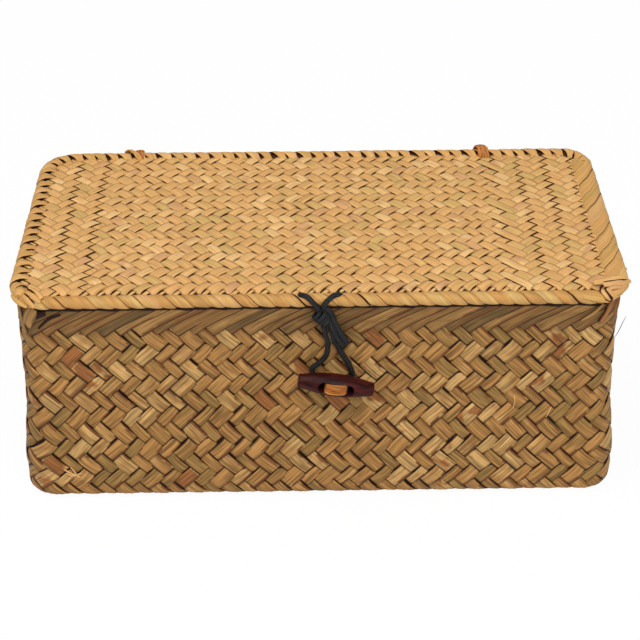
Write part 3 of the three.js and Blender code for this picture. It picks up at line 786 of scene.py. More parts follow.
# Strips that come loose from the folded edge there, and dark ribbons of painted shade beside them
EDGE_KNOTS = (
    (2.7, 0.2, 0.7, 0, -114.2, -65.6, 92.2, -115.1, -65.5, 90.6, -116.6, -64.8, 87.2, -117.9, -63.6, 82.8),
    (1.2, 0.2, 0.2, 1, -114.2, -65.7, 88.2, -112.6, -65.9, 89.1, -109.4, -65.8, 90),
    (0.6, 0.2, 0.2, 1, -113, -65.4, 82.8, -109.5, -65.5, 86.4, -107, -65.6, 88, -103.6, -65.5, 89.1),
    (1.2, 0.2, 0.7, 0, -120.6, -60.6, 91.6, -120.1, -61.1, 87.2, -119.2, -62.2, 82.7, -118.7, -62.8, 78.7),
    (0.4, 0.2, 0.2, 1, -119.6, -62.2, 91, -118.7, -63.2, 85.5, -117.5, -64.1, 80.9),
    (1.3, 0.2, 0.92, 0.1, 118, -63.4, 92.4, 116.7, -64.3, 89.6, 115, -65.1, 86, 113.1, -65.4, 82.6),
    (0.4, 0.2, 0.2, 1, 115.6, -64.8, 90.6, 114.3, -65.4, 87, 111.9, -65.5, 83.2),
    (0.9, 0.2, 0.85, 0.1, 121.2, -58.5, 91.2, 120.35, -60.4, 88.2, 119.2, -61.9, 84.4),
    (0.9, 0.2, 0.76, 0, 113.9, -65.3, 91.2, 110.7, -65.7, 87.7, 105.4, -65.5, 83.6),
    (0.14, 0.14, 0.1, 0.45, 119.8, -61.4, 72.8, 121.6, -60.4, 75.4, 123, -59.6, 78.6, 124.6, -59, 82),
)
# Fine fibres that stand off the front wall: half width, tone and places along, up and off it
STRAYS = (
    (0.2, 0.75, (75.2, 24, 0.9), (77.1, 26.8, 1.7), (79.1, 28.9, 1.4)),
    (0.16, 0.75, (93.7, 37.6, 0.4), (94.6, 40.3, 1.2), (95.4, 42.3, 0.9)),
    (0.14, 0.75, (79.8, 41.7, 0.4), (80.3, 45.7, 1.4), (80, 48.3, 1)),
    (0.4, 0.9, (-107.5, 15.4, 0.3), (-104.5, 13.6, 0.9), (-101, 11.4, 0.6)),
    (0.35, 0.6, (-106.5, 13.2, 0.4), (-103.6, 12.4, 1), (-100.2, 13.4, 0.5)),
    (0.3, 0.9, (-104.6, 16.4, 0.4), (-102.4, 13.4, 1.1), (-101.8, 10, 0.5)),
)


def corner_strips(strips, seed, outward, forward, upward):
    """A piece of short strips at the front corners, whose flat sides face away from the basket."""
    bm = start_piece()
    for number, (half, thick, tone, painted_shade, *places) in enumerate(strips):
        points = [Vector(places[i : i + 3]) * MM for i in range(0, len(places), 3)]
        facing = Vector((math.copysign(outward, points[0].x), -forward, upward))
        ribbon(bm, points, half * MM, thick * MM, tone, chance(number, seed), painted_shade, facing)
    return bm


def strays():
    """Fine fibres and frayed ends that stand off the front wall."""
    bm = start_piece()
    front = WALL_CORNER * HALF_TURN / 2 + WALL_HALF_WIDTH - WALL_CORNER
    side = Vector((0.3, 0, 1))
    for number, (half, tone, *places) in enumerate(STRAYS):
        points = [wall_point(front + along * MM, up * MM, off * MM) for along, up, off in places]
        section = even(half * MM, min(half, 0.15) * MM)
        add_tube(bm, smooth_route(points), 20, 6, section, tone, chance(number, 131), side)
    return bm


# Hinge ties

# How far the places of a tie stand from the middle of the rear roll, and where it goes through the wall
TIE_REACH = 4.0 * MM
TIE_THROUGH = ((60.0, 92.0), (60.0, 88.9), (61.2, 87.4), (63.4, 87.0), (65.2, 87.3), (66.0, 89.2))
TIE_STRANDS = 13


def tie_turn():
    """One turn of a tie as rearward and upward places: over the rim's roll and through the wall."""

    def over(degrees):
        angle = math.radians(degrees)
        return ROLL_HALF_DEPTH + TIE_REACH * math.cos(angle), ROLL_HEIGHT + TIE_REACH * math.sin(angle)

    return [*map(over, range(0, 181, 20)), *((y * MM, z * MM) for y, z in TIE_THROUGH), over(-20)]


def tie_fullness(strand, pale_count):
    """How far a strand of a tie stands out. The tie without pale strands is a rounder bundle."""
    if strand < pale_count:
        return 1.0
    if pale_count:
        return 0.94 - 0.24 * ((strand - 8.5) / 4) ** 2
    return 1.2 - 0.12 * ((strand - 6) / 6) ** 2


def hinge_tie(x, seed, pale_count):
    """Grass strands wound round the rim and through the wall, full in the middle. The pale ones slant."""
    bm = start_piece()
    turn = tie_turn()
    half = sizes().strand_width / 2
    half_width = (2.6 if pale_count else 2.3) * MM
    for strand in range(TIE_STRANDS):
        pale = strand < pale_count
        middle = x + half_width * (2 * (strand + 0.5) / TIE_STRANDS - 1) + (0.6 if pale else 0.4) * MM
        slant = (3.6 if pale else 1.0) * MM
        points = []
        for i in range(len(turn) + 2):
            y, z = turn[i % len(turn)]
            fullness = tie_fullness(strand, pale_count) + 0.03 * swing(strand, i % len(turn), seed + 2)
            y = ROLL_HALF_DEPTH + (y - ROLL_HALF_DEPTH) * fullness
            if z > ROLL_HEIGHT:
                z = ROLL_HEIGHT + (z - ROLL_HEIGHT) * fullness
            lean = slant * math.cos(HALF_TURN * min(i, 10) / 10)
            points.append((middle - lean + 0.25 * MM * swing(strand, i, seed), y, z))
        tone = 0.72 if pale else 0.12 + 0.4 * chance(strand, seed)
        add_tube(bm, smooth_route(points), 48, 6, even(half, 0.36 * MM), tone, chance(strand, seed + 4))
    return bm


def hinge_knot(x, seed):
    """A flat knot over the ends of a tie: short strands that cross each other."""
    bm = start_piece()
    angle = math.radians(4)
    reach = 5.75 * MM
    middle = Vector((x, ROLL_HALF_DEPTH + reach * math.cos(angle), ROLL_HEIGHT + reach * math.sin(angle)))
    section = even(0.62 * MM, 0.38 * MM)
    for strand in range(7):
        turn = math.radians(-12 + 4 * strand + 5 * swing(strand, seed))
        along = Vector((math.cos(turn), 0, math.sin(turn))) * (3.3 if strand % 2 else 2.9) * MM
        centre = middle + Vector((0, 0, (strand - 3) * 0.22 * MM))
        bulge = Vector((0, 0.5 * MM + 0.15 * MM * swing(strand, seed + 1), 0))
        bows = ((-1, -1.2), (-0.5, 0.5), (0, 1), (0.5, 0.5), (1, -1.2))
        route = smooth_route([centre + along * share + bulge * bow for share, bow in bows])
        tone = 0.36 + 0.3 * chance(strand, seed + 8)
        add_tube(bm, route, 12, 6, section, tone, chance(strand, seed), Vector((0, 0, 1)))
    return bm


# Closure cord

KNOT_MIDDLE = Vector((1.1, -68.13, 88.2)) * MM
KNOT_LEVEL = -65 * MM  # the folded edge's front, from which the cord's places are measured outward
ROUTE_UNIT = 1.05 * MM  # the places of the cord are given in this, its radius in the solids


def from_knot(right, out, up):
    """A place given in cord radii: right of the knot, out from the folded edge and up from the knot."""
    x = KNOT_MIDDLE.x + right * ROUTE_UNIT
    return Vector((x, KNOT_LEVEL - out * ROUTE_UNIT, KNOT_MIDDLE.z + up * ROUTE_UNIT))


def on_wall(right, up):
    """A place against the wall behind the toggle, in cord radii from the toggle's middle."""
    height = TOGGLE_PLACE.z + up * ROUTE_UNIT
    stand_off = 0.45 * MM + ROUTE_UNIT
    y = -WALL_HALF_DEPTH - wall_swell(height) - stand_off
    return Vector((TOGGLE_PLACE.x + right * ROUTE_UNIT, y, height))


# The cord's legs over the rim: degrees round the roll, distance from its middle and the place of each leg
LEG_ROUTE = (
    (-15, 3.9, -1.2, 1.9),
    (2, 3.9, -2.2, 2.3),
    (22, 3.8, -3.3, 3.3),
    (46, 3.6, -4.7, 4.8),
    (64, 3.2, -6.2, 6.5),
    (80, 2.2, -7.6, 8.2),
    (100, 0.8, -7.9, 8.3),
)
# The same under the panel, where the legs meet: distance from the middle and height
JOINT_ROUTE = ((7.0, 95.3), (6.5, 94.9), (6.0, 94.45), (5.05, 94.05))


def anchor_leg(side):
    """One side of the cord from the knot over the rim and down through the lid."""
    points = [Vector((KNOT_MIDDLE.x + side * 0.9 * MM, KNOT_MIDDLE.y, 90.2 * MM))]
    for degrees, over, left, right in LEG_ROUTE:
        angle = math.radians(degrees)
        y = -ROLL_HALF_DEPTH - over * MM * math.cos(angle)
        rise = over * MM * math.sin(angle) * (0.87 if degrees > 0 else 1)
        points.append(Vector(((left if side < 0 else right) * MM, y, ROLL_HEIGHT - FRONT_DROP + rise)))
    return points + [Vector((side * x, -59.9, z)) * MM for x, z in JOINT_ROUTE]


CORD_LOBES = 3
CORD_LAY = 7.0 * MM  # the length in which a strand of the cord turns round once


def laid_cord(length, share=1.0):
    """The skin of a cord laid from strands, which turn round it. Its radius is a share of the cord's."""
    radius = share * sizes().cord_radius

    def skin(u, angle):
        reach = radius * (0.97 + 0.05 * math.cos(CORD_LOBES * angle - FULL_TURN * u * length / CORD_LAY))
        return reach, reach

    return skin


# Places of the loop, in cord radii: from the knot where there are three, and else against the wall
LOOP_ROUTE = (
    (0.38, 2.6, -3.81),
    (1.33, 2.86, -8.29),
    (2.19, 1.81, -12.57),
    (-3.9, 9.43),
    (-6.19, 6.57),
    (-8.86, 4.29),
    (-8.86, 0.86),
    (-6.1, -3.33),
    (-2.38, -4.48),
    (2.38, -4.48),
    (5.33, -3.14),
    (6.57, 1.14),
    (4.95, 6.19),
    (1.62, 12.29),
    (4.29, 2.48, -9.71),
    (2.86, 2.6, -3.05),
)
TAIL_ROUTES = {
    "left": ((0.9, 3.2, 2.6), (2.4, 4.2, 0.5), (4.0, 4.2, -4.1), (5.8, 3.6, -8.9), (7.9, 2.9, -12.5)),
    "right": ((1.2, 3.2, 4.6), (3.1, 4.4, 3.0), (5.0, 4.4, -1.9), (7.15, 3.8, -7.1), (9.4, 3.0, -11.3)),
}


def route_length(points):
    """The length of a route straight from point to point."""
    return sum((b - a).length for a, b in zip(points, points[1:]))


def knot_route(share):
    """The line of the knot. It tucks in, winds round the cords on a slant and tucks in again."""
    turns = 3.6
    angle = math.radians(70) - FULL_TURN * turns * share
    down = Vector((0.62, 0, -0.78))
    across = Vector((0.78, 0, 0.62))
    tuck = smooth(share, 0, 0.12) * (1 - smooth(share, 0.88, 1))
    radius = mix(0.8, 2.5 + 0.25 * math.sin(FULL_TURN * share), tuck) * MM
    middle = KNOT_MIDDLE + down * ((share - 0.5) * 5.4 * MM)
    return middle + across * (radius * math.sin(angle)) + Vector((0, -radius * math.cos(angle), 0))


# Toggle


def on_toggle(x, y, z):
    """A point given in the toggle's own directions, turned to its tilt and set in its place."""
    turned = Matrix.Rotation(TOGGLE_TILT, 3, "Y") @ Vector((x, y, z))
    return turned + TOGGLE_PLACE


TOGGLE_HALF = 15.5 * MM
TOGGLE_STEPS = 118  # steps along its curved side
TOGGLE_END = ((0.0, 0.0), (0.0, 1.2), (0.0, 2.2), (0.15, 2.6), (0.5, 2.82))  # in from its end, and radius


def toggle_line():
    """The half outline of the barrel, as places along it and radii."""
    ends = [(inward * MM - TOGGLE_HALF, radius) for inward, radius in TOGGLE_END]
    line = list(ends)
    for step in range(1, TOGGLE_STEPS):
        share = step / TOGGLE_STEPS
        radius = mix(2.75, 4.7, math.sin(HALF_TURN * share) ** 1.1)
        line.append((mix(-TOGGLE_HALF, TOGGLE_HALF, share), radius))
    line += [(-x, radius) for x, radius in reversed(ends)]
    return sorted(line, key=lambda place: place[0])


def toggle_barrel():
    """A turned barrel with an oval slot sunk in its front and a hole at each end of the slot."""
    bm = start_piece()
    line = [bm.verts.new((x, 0, radius * MM)) for x, radius in toggle_line()]
    edges = [bm.edges.new(pair) for pair in zip(line, line[1:])]
    turn = {"cent": (0, 0, 0), "axis": (1, 0, 0), "angle": FULL_TURN, "steps": 96, "use_merge": True}
    bmesh.ops.spin(bm, geom=line + edges, **turn)
    bmesh.ops.remove_doubles(bm, verts=bm.verts, dist=1e-7)
    strip = bm.verts.layers.float_vector["strip"]
    look = bm.verts.layers.float_vector["look"]
    for vert in bm.verts:
        x, y, z = vert.co
        vert[strip] = (x, y, z)
        past = max(abs(x) - 5.0 * MM, 0) / (2.35 * MM)
        inside = math.hypot(past, (z + 0.2 * MM) / (2.4 * MM))
        sunk = 1 - smooth(inside, 0.8, 1.08)
        if y < 0 and sunk > 0:
            floor = mix(-1.9, 2.6, smooth(abs(x), 3.5 * MM, 4.7 * MM)) * MM
            y = mix(y, max(y, floor), sunk)
            # The look keeps how deep the point is sunk, which the wood darkens as painted shade
            vert[look] = (0.0, sunk, 0.0)
        vert.co = on_toggle(x, y, z)
    return bm


# Half a strand's route from inside the wall to the slot's middle, in millimetres along and back
STITCH_ROUTE = (
    (1.25, 9.7),
    (1.25, 7.7),
    (1.6, 6.8),
    (2.9, 5.9),
    (4.2, 4.7),
    (4.3, 2.2),
    (4.4, -1.6),
    (3.7, -3.3),
)
STITCH_STRANDS = 17


def stitch_strands():
    """Grass strands that cross the slot, go back through its holes, gather and pass through the wall."""
    bm = start_piece()
    for strand in range(STITCH_STRANDS):
        height = (strand - 8) * 0.255
        puff = 0.45 * math.sqrt(max(1 - (height / 2.5) ** 2, 0)) + 0.15 * (strand % 2)
        legs = []
        for side in (-1, 1):
            leg = []
            for i, (x, y) in enumerate(STITCH_ROUTE):
                up = height * (0.62 if i < 3 else 1.0) + 0.26 * swing(strand, i, side + 3)
                back = y - puff if i > 5 else y
                leg.append(on_toggle(side * x * MM, back * MM, up * MM))
            legs.append(leg)
        up = height + 0.3 * swing(strand, 5)
        crown = on_toggle(0.4 * MM * swing(strand), (-3.75 - puff) * MM, up * MM)
        route = smooth_route([*legs[0], crown, *reversed(legs[1])])
        tone = 0.1 + 0.62 * chance(strand, 101)
        section = even(0.25 * MM, 0.24 * MM)
        add_tube(bm, route, 64, 6, section, tone, chance(strand, 103), Vector((0, 0, 1)))
    return bm


def stitch_knot():
    """The coil of strands that holds the stitch inside the basket."""
    bm = start_piece()
    for coil in range(5):
        radius = (0.9 + 0.62 * coil) * MM
        back = (10.9 + 0.25 * math.sin(HALF_TURN * coil / 4)) * MM

        def route(share):
            angle = FULL_TURN * share
            reach = radius * (1 + 0.08 * math.sin(3 * angle + coil))
            lift = 0.25 * MM * math.sin(2 * angle + 1.7 * coil)
            return on_toggle(reach * math.cos(angle), back + lift, reach * math.sin(angle))

        tone = 0.3 + 0.5 * chance(coil, 107)
        section = even(0.5 * MM, 0.5 * MM)
        add_tube(bm, route, 28, 6, section, tone, chance(coil, 109), Vector((0, 1, 0)))
    return bm


# Node helpers


class NodeMaker:
    """Adds nodes to a tree and joins them."""

    def __init__(self, tree):
        self.tree = tree
        self.count = 0

    def join(self, node, inputs):
        """Links each input that is given a socket, and sets any other."""
        for name, value in inputs.items():
            if isinstance(value, bpy.types.NodeSocket):
                self.tree.links.new(value, node.inputs[name])
            else:
                node.inputs[name].default_value = value

    def add(self, kind, inputs=None, **settings):
        node = self.tree.nodes.new(kind)
        node.location = (220 * (self.count % 8), -260 * (self.count // 8))
        self.count += 1
        for name, value in settings.items():
            setattr(node, name, value)
        self.join(node, inputs or {})
        return node

    def own(self, name):
        """A vector that each point of a piece holds."""
        return self.add("ShaderNodeAttribute", attribute_name=name).outputs["Vector"]

    def math(self, operation, *values):
        return self.add("ShaderNodeMath", dict(enumerate(values)), operation=operation).outputs[0]

    def ramp(self, value, low, high, start=0.0, end=1.0):
        inputs = {"Value": value, "From Min": low, "From Max": high, "To Min": start, "To Max": end}
        return self.add("ShaderNodeMapRange", inputs, interpolation_type="SMOOTHSTEP").outputs["Result"]

    def blend(self, share, first, second):
        """A colour the given share of the way from the first to the second."""
        return self.add("ShaderNodeMix", {0: share, 6: first, 7: second}, data_type="RGBA").outputs[2]

    def noise(self, vector, scale, detail, roughness):
        mapped = self.add("ShaderNodeMapping", {"Vector": vector, "Scale": scale}).outputs[0]
        inputs = {"Vector": mapped, "Scale": 1.0, "Detail": detail, "Roughness": roughness}
        return self.add("ShaderNodeTexNoise", inputs).outputs["Fac"]


def new_group(name, inputs, outputs):
    """An empty shader group with named sockets, the maker of its nodes, its source and its result."""
    group = bpy.data.node_groups.new(name, "ShaderNodeTree")
    for sockets, way in ((inputs, "INPUT"), (outputs, "OUTPUT")):
        for title, kind in sockets.items():
            group.interface.new_socket(title, in_out=way, socket_type=kind)
    make = NodeMaker(group)
    return group, make, make.add("NodeGroupInput").outputs, make.add("NodeGroupOutput")


def rgba(value):
    """A colour with its alpha."""
    return (*value, 1.0)


FLOAT = "NodeSocketFloat"
COLOUR = "NodeSocketColor"
VECTOR = "NodeSocketVector"
TONES = ("Base", "Pale", "Green", "Warm", "Gap")


def fibre_group():
    """Lengthwise fibres of a flat strip: broad streaks, fine lines and slow blotches."""
    name = "Strip fibres"
    if name in bpy.data.node_groups:
        return bpy.data.node_groups[name]
    inputs = {"Strip": VECTOR, "Fineness": FLOAT}
    outputs = {"Streaks": FLOAT, "Lines": FLOAT, "Blotches": FLOAT}
    group, make, source, result = new_group(name, inputs, outputs)
    fine = {0: source["Strip"], "Scale": source["Fineness"]}
    vector = make.add("ShaderNodeVectorMath", fine, operation="SCALE").outputs["Vector"]
    streaks = make.noise(vector, (55, 900, 41), 3.0, 0.6)
    lines = make.ramp(make.noise(vector, (38, 1700, 67), 2.0, 0.5), 0.56, 0.72)
    blotches = make.noise(vector, (120, 160, 23), 2.0, 0.5)
    make.join(result, {"Streaks": streaks, "Lines": lines, "Blotches": blotches})
    return group


def grass_group():
    """Dried grass: tones from strip to strip, fibres, brown edges partly painted as shade, and painted shade
    where a strip tucks under and wherever its look asks for it.
    """
    name = "Dried grass"
    if name in bpy.data.node_groups:
        return bpy.data.node_groups[name]
    inputs = {"Strip": VECTOR, "Look": VECTOR}
    inputs.update(dict.fromkeys(TONES, COLOUR))
    inputs.update(dict.fromkeys(("Fibres", "Edge", "Fineness", "Contrast", "Behind"), FLOAT))
    outputs = {"Color": COLOUR, "Roughness": FLOAT, "Height": FLOAT}
    group, make, source, result = new_group(name, inputs, outputs)
    strip = {"Strip": source["Strip"], "Fineness": source["Fineness"]}
    streaks, lines, blotches = make.add("ShaderNodeGroup", strip, node_tree=fibre_group()).outputs
    parts = make.add("ShaderNodeSeparateXYZ", {0: source["Look"]}).outputs
    own_tone, painted_darkness, outline = parts["X"], parts["Y"], parts["Z"]
    tone = make.math("ADD", own_tone, make.math("MULTIPLY_ADD", blotches, 0.6, -0.3))
    body = source["Green"]
    for title, low, high in (("Base", 0.12, 0.38), ("Pale", 0.46, 0.74), ("Warm", 0.80, 0.90)):
        body = make.blend(make.ramp(tone, low, high), body, source[title])
    darkest = make.math("MULTIPLY_ADD", source["Contrast"], -0.28, 1.0)
    lightest = make.math("MULTIPLY_ADD", source["Contrast"], 0.2, 1.0)
    light = make.ramp(streaks, 0.28, 0.72, darkest, lightest)
    shaded = make.add("ShaderNodeHueSaturation", {"Color": body, "Value": light}).outputs[0]
    brown = make.blend(0.62, body, source["Gap"])
    shaded = make.blend(make.math("MULTIPLY", lines, source["Fibres"]), shaded, brown)
    rolled = make.math("MULTIPLY", make.ramp(outline, 0.52, 0.7), make.ramp(blotches, 0.48, 0.56))
    rolled = make.math("MULTIPLY", rolled, source["Edge"])
    shaded = make.blend(rolled, shaded, make.blend(0.4, source["Warm"], source["Gap"]))
    # Edges darken towards the gap's colour: partly the grass's own brown edges, partly painted shade between
    # neighbouring strips
    low_side = make.ramp(make.math("MULTIPLY", outline, -1.0), 0.78, 0.96)
    both_sides = make.math("ADD", low_side, make.ramp(outline, 0.86, 0.99, 0.0, 0.8))
    shaded = make.blend(make.math("MULTIPLY", both_sides, source["Edge"]), shaded, source["Gap"])
    # Painted shade where the look asks for it, turned the other way round on the far side of a plait
    turned = {0: source["Behind"], 2: painted_darkness, 3: make.math("SUBTRACT", 1.0, painted_darkness)}
    painted_shade = make.ramp(make.add("ShaderNodeMix", turned).outputs[0], 0.32, 0.6)
    shaded = make.blend(painted_shade, shaded, source["Gap"])
    height = make.math("SUBTRACT", streaks, make.math("MULTIPLY", lines, 0.5))
    roughness = make.ramp(streaks, 0.3, 0.7, 0.66, 0.5)
    make.join(result, {"Color": shaded, "Roughness": roughness, "Height": height})
    return group


def new_material(name):
    """An empty material with a shader at its output."""
    material = bpy.data.materials.new(name)
    material.use_nodes = True
    tree = material.node_tree
    tree.nodes.clear()
    make = NodeMaker(tree)
    shader = make.add("ShaderNodeBsdfPrincipled")
    output = make.add("ShaderNodeOutputMaterial")
    tree.links.new(shader.outputs[0], output.inputs["Surface"])
    return material, make, shader


def join_shader(make, shader, colour, roughness, height, strength, distance, specular):
    """Gives a shader its colour, roughness, bumps and gloss."""
    bumps = make.add("ShaderNodeBump", {"Height": height, "Strength": strength, "Distance": distance})
    make.join(shader, {"Base Color": colour, "Roughness": roughness, "Normal": bumps.outputs[0]})
    shader.inputs["Specular IOR Level"].default_value = specular


# Each grass: its base, pale, green and warm tones with the painted shade in its gaps, how strong its bumps
# are, and how far its fibres, brown edges with their painted shade, and streaks show
GRASSES = {
    "wall": (
        ("wall_base", "wall_pale", "wall_green", "wall_warm", "gap"),
        0.6,
        {"Fibres": 1.0, "Edge": 1.0, "Fineness": 1.15, "Contrast": 1.8},
    ),
    # The folded edge: its darker tones are painted shade from the lid's overhang
    "edge": (
        ("edge_base", "edge_pale", "edge_green", "wall_warm", "gap"),
        0.35,
        {"Fibres": 0.9, "Edge": 0.9, "Contrast": 1.2},
    ),
    "lid": (
        ("lid_base", "lid_pale", "lid_green", "lid_warm", "lid_gap"),
        0.35,
        {"Fibres": 0.4, "Edge": 0.3, "Contrast": 0.6},
    ),
    # The front rim: a darker copy of the side rim's grass, as painted shade
    "rim": (
        ("rim_base", "rim_pale", "lid_green", "lid_warm", "lid_gap"),
        0.35,
        {"Fibres": 0.35, "Edge": 0.2, "Contrast": 0.8},
    ),
    "side rim": (
        ("side_rim_base", "side_rim_pale", "side_rim_green", "lid_warm", "lid_gap"),
        0.35,
        {"Fibres": 0.4, "Edge": 0.3, "Contrast": 0.6},
    ),
    "tie": (
        ("tie", "rim_pale", "wall_warm", "gap", "gap"),
        0.35,
        {"Fibres": 0.7, "Edge": 0.0, "Fineness": 1.4},
    ),
    "stitch": (
        ("stitch", "stitch_pale", "wall_warm", "tie", "gap"),
        0.35,
        {"Fibres": 0.8, "Edge": 0.0, "Fineness": 1.6},
    ),
}


def grass(kind):
    """The finish of a kind of dried grass."""
    name = f"{kind} grass"
    if name in bpy.data.materials:
        return bpy.data.materials[name]
    tones, relief, marks = GRASSES[kind]
    material, make, shader = new_material(name)
    sides = {0: make.add("ShaderNodeTexCoord").outputs["Normal"], 1: make.own("outward")}
    along = make.add("ShaderNodeVectorMath", sides, operation="DOT_PRODUCT").outputs["Value"]
    inputs = {"Strip": make.own("strip"), "Look": make.own("look"), "Fineness": 1.0, "Contrast": 1.0, **marks}
    inputs["Behind"] = make.ramp(along, -0.3, -0.1, 1.0, 0.0)
    for title, tone in zip(TONES, tones):
        inputs[title] = rgba(getattr(colours(), tone))
    body = make.add("ShaderNodeGroup", inputs, node_tree=grass_group()).outputs
    join_shader(make, shader, body["Color"], body["Roughness"], body["Height"], relief, 0.4 * MM, 0.2)
    return material


def turned_wood():
    """Dark, polished wood with its grain along the toggle."""
    c = colours()
    material, make, shader = new_material("turned wood")
    place = make.own("strip")
    sunk = make.add("ShaderNodeSeparateXYZ", {0: make.own("look")}).outputs["Y"]
    broad = make.noise(place, (70, 700, 700), 4.0, 0.55)
    fine = make.noise(place, (160, 3800, 3800), 3.0, 0.6)
    grain = make.math("ADD", make.math("MULTIPLY", broad, 0.7), make.math("MULTIPLY", fine, 0.3))
    body = make.blend(make.ramp(grain, 0.36, 0.66), rgba(c.wood_dark), rgba(c.wood_light))
    body = make.blend(make.ramp(fine, 0.62, 0.74, 0.0, 0.5), body, rgba(c.wood_pores))
    # Painted shade: the wood darkens towards the bottom of the slot
    body = make.blend(make.ramp(sunk, 0.15, 0.8, 0.0, 0.85), body, rgba(c.wood_sunk))
    join_shader(make, shader, body, make.ramp(grain, 0.3, 0.7, 0.42, 0.28), grain, 0.25, 0.3 * MM, 0.08)
    make.join(shader, {"Coat Weight": 0.02, "Coat Roughness": 0.3})
    return material


THREADS = 9  # fine threads in the cord's skin
THREAD_PITCH = 4.25 * MM  # from one thread to the next along the cord


def waxed_cord():
    """Charcoal cord with fine threads that turn round it, painted highlights on their crests, painted shade
    between them and a dull wax sheen.
    """
    material, make, shader = new_material("waxed cord")
    place = make.own("strip")
    parts = make.add("ShaderNodeSeparateXYZ", {0: place}).outputs
    around = make.math("MULTIPLY", make.math("ARCTAN2", parts["Z"], parts["Y"]), THREADS)
    turns = make.math("MULTIPLY", parts["X"], FULL_TURN / THREAD_PITCH)
    threads = make.math("SINE", make.math("SUBTRACT", around, turns))
    fuzz = make.noise(place, (500, 3000, 3000), 4.0, 0.65)
    shade = make.math("MULTIPLY_ADD", threads, 0.26, fuzz)
    # Painted highlight and shade: the cord is painted lighter on the crests of its threads and darker between
    # them, up to 5.5 and down to 0.3 times its colour, mixed with a fine random tone
    dark, middle, light = (tuple(share * c for c in colours().cord) for share in (0.3, 1.0, 5.5))
    body = make.blend(make.ramp(shade, 0.34, 0.54), rgba(dark), rgba(middle))
    body = make.blend(make.ramp(shade, 0.58, 0.74), body, rgba(light))
    join_shader(make, shader, body, make.ramp(fuzz, 0.3, 0.7, 0.5, 0.7), shade, 0.8, 0.4 * MM, 0.25)
    return material


# Operators

# The camera as it was fitted to the photograph
CAMERA_RISE = math.radians(30.0)
CAMERA_YAW = math.radians(-0.63)
CAMERA_ROLL = math.radians(0.34)
CAMERA_TARGET = Vector((0.9, 0.0, 47.6)) * MM
CAMERA_DISTANCE = 826 * MM
SENSOR_WIDTH = 36.0
FOCAL_PIXELS = 1870
PHOTO_PIXELS = 640
LAMPS = {  # place and size in metres, and power in watts
    "key": ((-0.48, -0.56, 2.24), 1.28, 26.0),
    "fill": ((0.4, -1.76, 1.68), 1.12, 28.0),
}
LAMP_TARGET = Vector((0, 0, 50)) * MM


class BASKET_OT_stage(bpy.types.Operator):
    """Sets the pale floor, the soft light and the camera at the photograph's angle"""

    bl_idname = "basket.stage"
    bl_label = "Floor, light and camera"

    def execute(self, context):
        scene = context.scene
        scene.view_settings.view_transform = "Standard"
        self.floor()
        self.sky(scene)
        for name, lamp in LAMPS.items():
            self.lamp(name, *lamp)
        self.camera(scene)
        return {"FINISHED"}

    def floor(self):
        material, make, shader = new_material("pale floor")
        make.join(shader, {"Base Color": (0.97, 0.97, 0.97, 1), "Roughness": 0.9, "Specular IOR Level": 0.1})
        glow = make.add("ShaderNodeEmission", {"Color": (1, 1, 1, 1), "Strength": 1.0})
        seen = make.add("ShaderNodeLightPath").outputs["Is Camera Ray"]
        share = make.math("MULTIPLY", seen, 0.95)
        joined = make.add("ShaderNodeMixShader", {0: share, 1: shader.outputs[0], 2: glow.outputs[0]})
        output = next(node for node in make.tree.nodes if node.type == "OUTPUT_MATERIAL")
        make.join(output, {"Surface": joined.outputs[0]})
        bm = bmesh.new()
        bmesh.ops.create_grid(bm, x_segments=2, y_segments=2, size=4)
        add_mesh(bm, "floor", material)

    def sky(self, scene):
        world = bpy.data.worlds.new("white room")
        world.use_nodes = True
        world.node_tree.nodes.clear()
        make = NodeMaker(world.node_tree)
        seen = make.add("ShaderNodeLightPath").outputs["Is Camera Ray"]
        strength = make.math("MULTIPLY_ADD", seen, 0.68, 0.32)
        light = make.add("ShaderNodeBackground", {"Color": (1, 1, 1, 1), "Strength": strength})
        make.add("ShaderNodeOutputWorld", {"Surface": light.outputs[0]})
        scene.world = world

    def lamp(self, name, place, size, power):
        light = bpy.data.lights.new(name, "AREA")
        light.size = size
        light.energy = power
        lamp = add_object(name, light)
        lamp.location = place
        lamp.rotation_euler = (Vector(place) - LAMP_TARGET).to_track_quat("Z", "Y").to_euler()

    def camera(self, scene):
        data = bpy.data.cameras.new("camera")
        data.sensor_width = SENSOR_WIDTH
        data.lens = SENSOR_WIDTH * FOCAL_PIXELS / PHOTO_PIXELS
        scene.camera = add_object("camera", data)
        place = Matrix.Translation(CAMERA_TARGET)
        for angle, axis in ((CAMERA_YAW, "Z"), (HALF_TURN / 2 - CAMERA_RISE, "X"), (-CAMERA_ROLL, "Z")):
            place @= Matrix.Rotation(angle, 4, axis)
        scene.camera.matrix_world = place @ Matrix.Translation((0, 0, CAMERA_DISTANCE))


class BASKET_OT_cord(bpy.types.Operator):
    """Lays the waxed cord: over the rim, its knot, its two cut ends and the loop behind the toggle"""

    bl_idname = "basket.cord"
    bl_label = "Closure cord"

    def execute(self, context):
        finish = waxed_cord()
        legs = [*anchor_leg(-1), *reversed(anchor_leg(1))]
        loop = [from_knot(*place) if len(place) == 3 else on_wall(*place) for place in LOOP_ROUTE]
        routes = {"cord_over_rim": (legs, "cord_anchor", 120), "cord_hanging_loop": (loop, "cord_loop", 200)}
        for side, places in TAIL_ROUTES.items():
            routes[f"cord_end_{side}"] = ([from_knot(*place) for place in places], f"cord_tail_{side}", 36)
        for name, (points, node, steps) in routes.items():
            bm = start_piece()
            add_tube(bm, smooth_route(points), steps, 14, laid_cord(route_length(points)))
            finish_piece(bm, name, "lid", finish, "waxed_cord", [node])
        bm = start_piece()
        length = route_length([knot_route(n / 60) for n in range(61)])
        add_tube(bm, knot_route, 160, 14, laid_cord(length, 0.76), side=Vector((0, 1, 0)))
        finish_piece(bm, "cord_tied_knot", "lid", finish, "waxed_cord", ["cord_knot"])
        return {"FINISHED"}


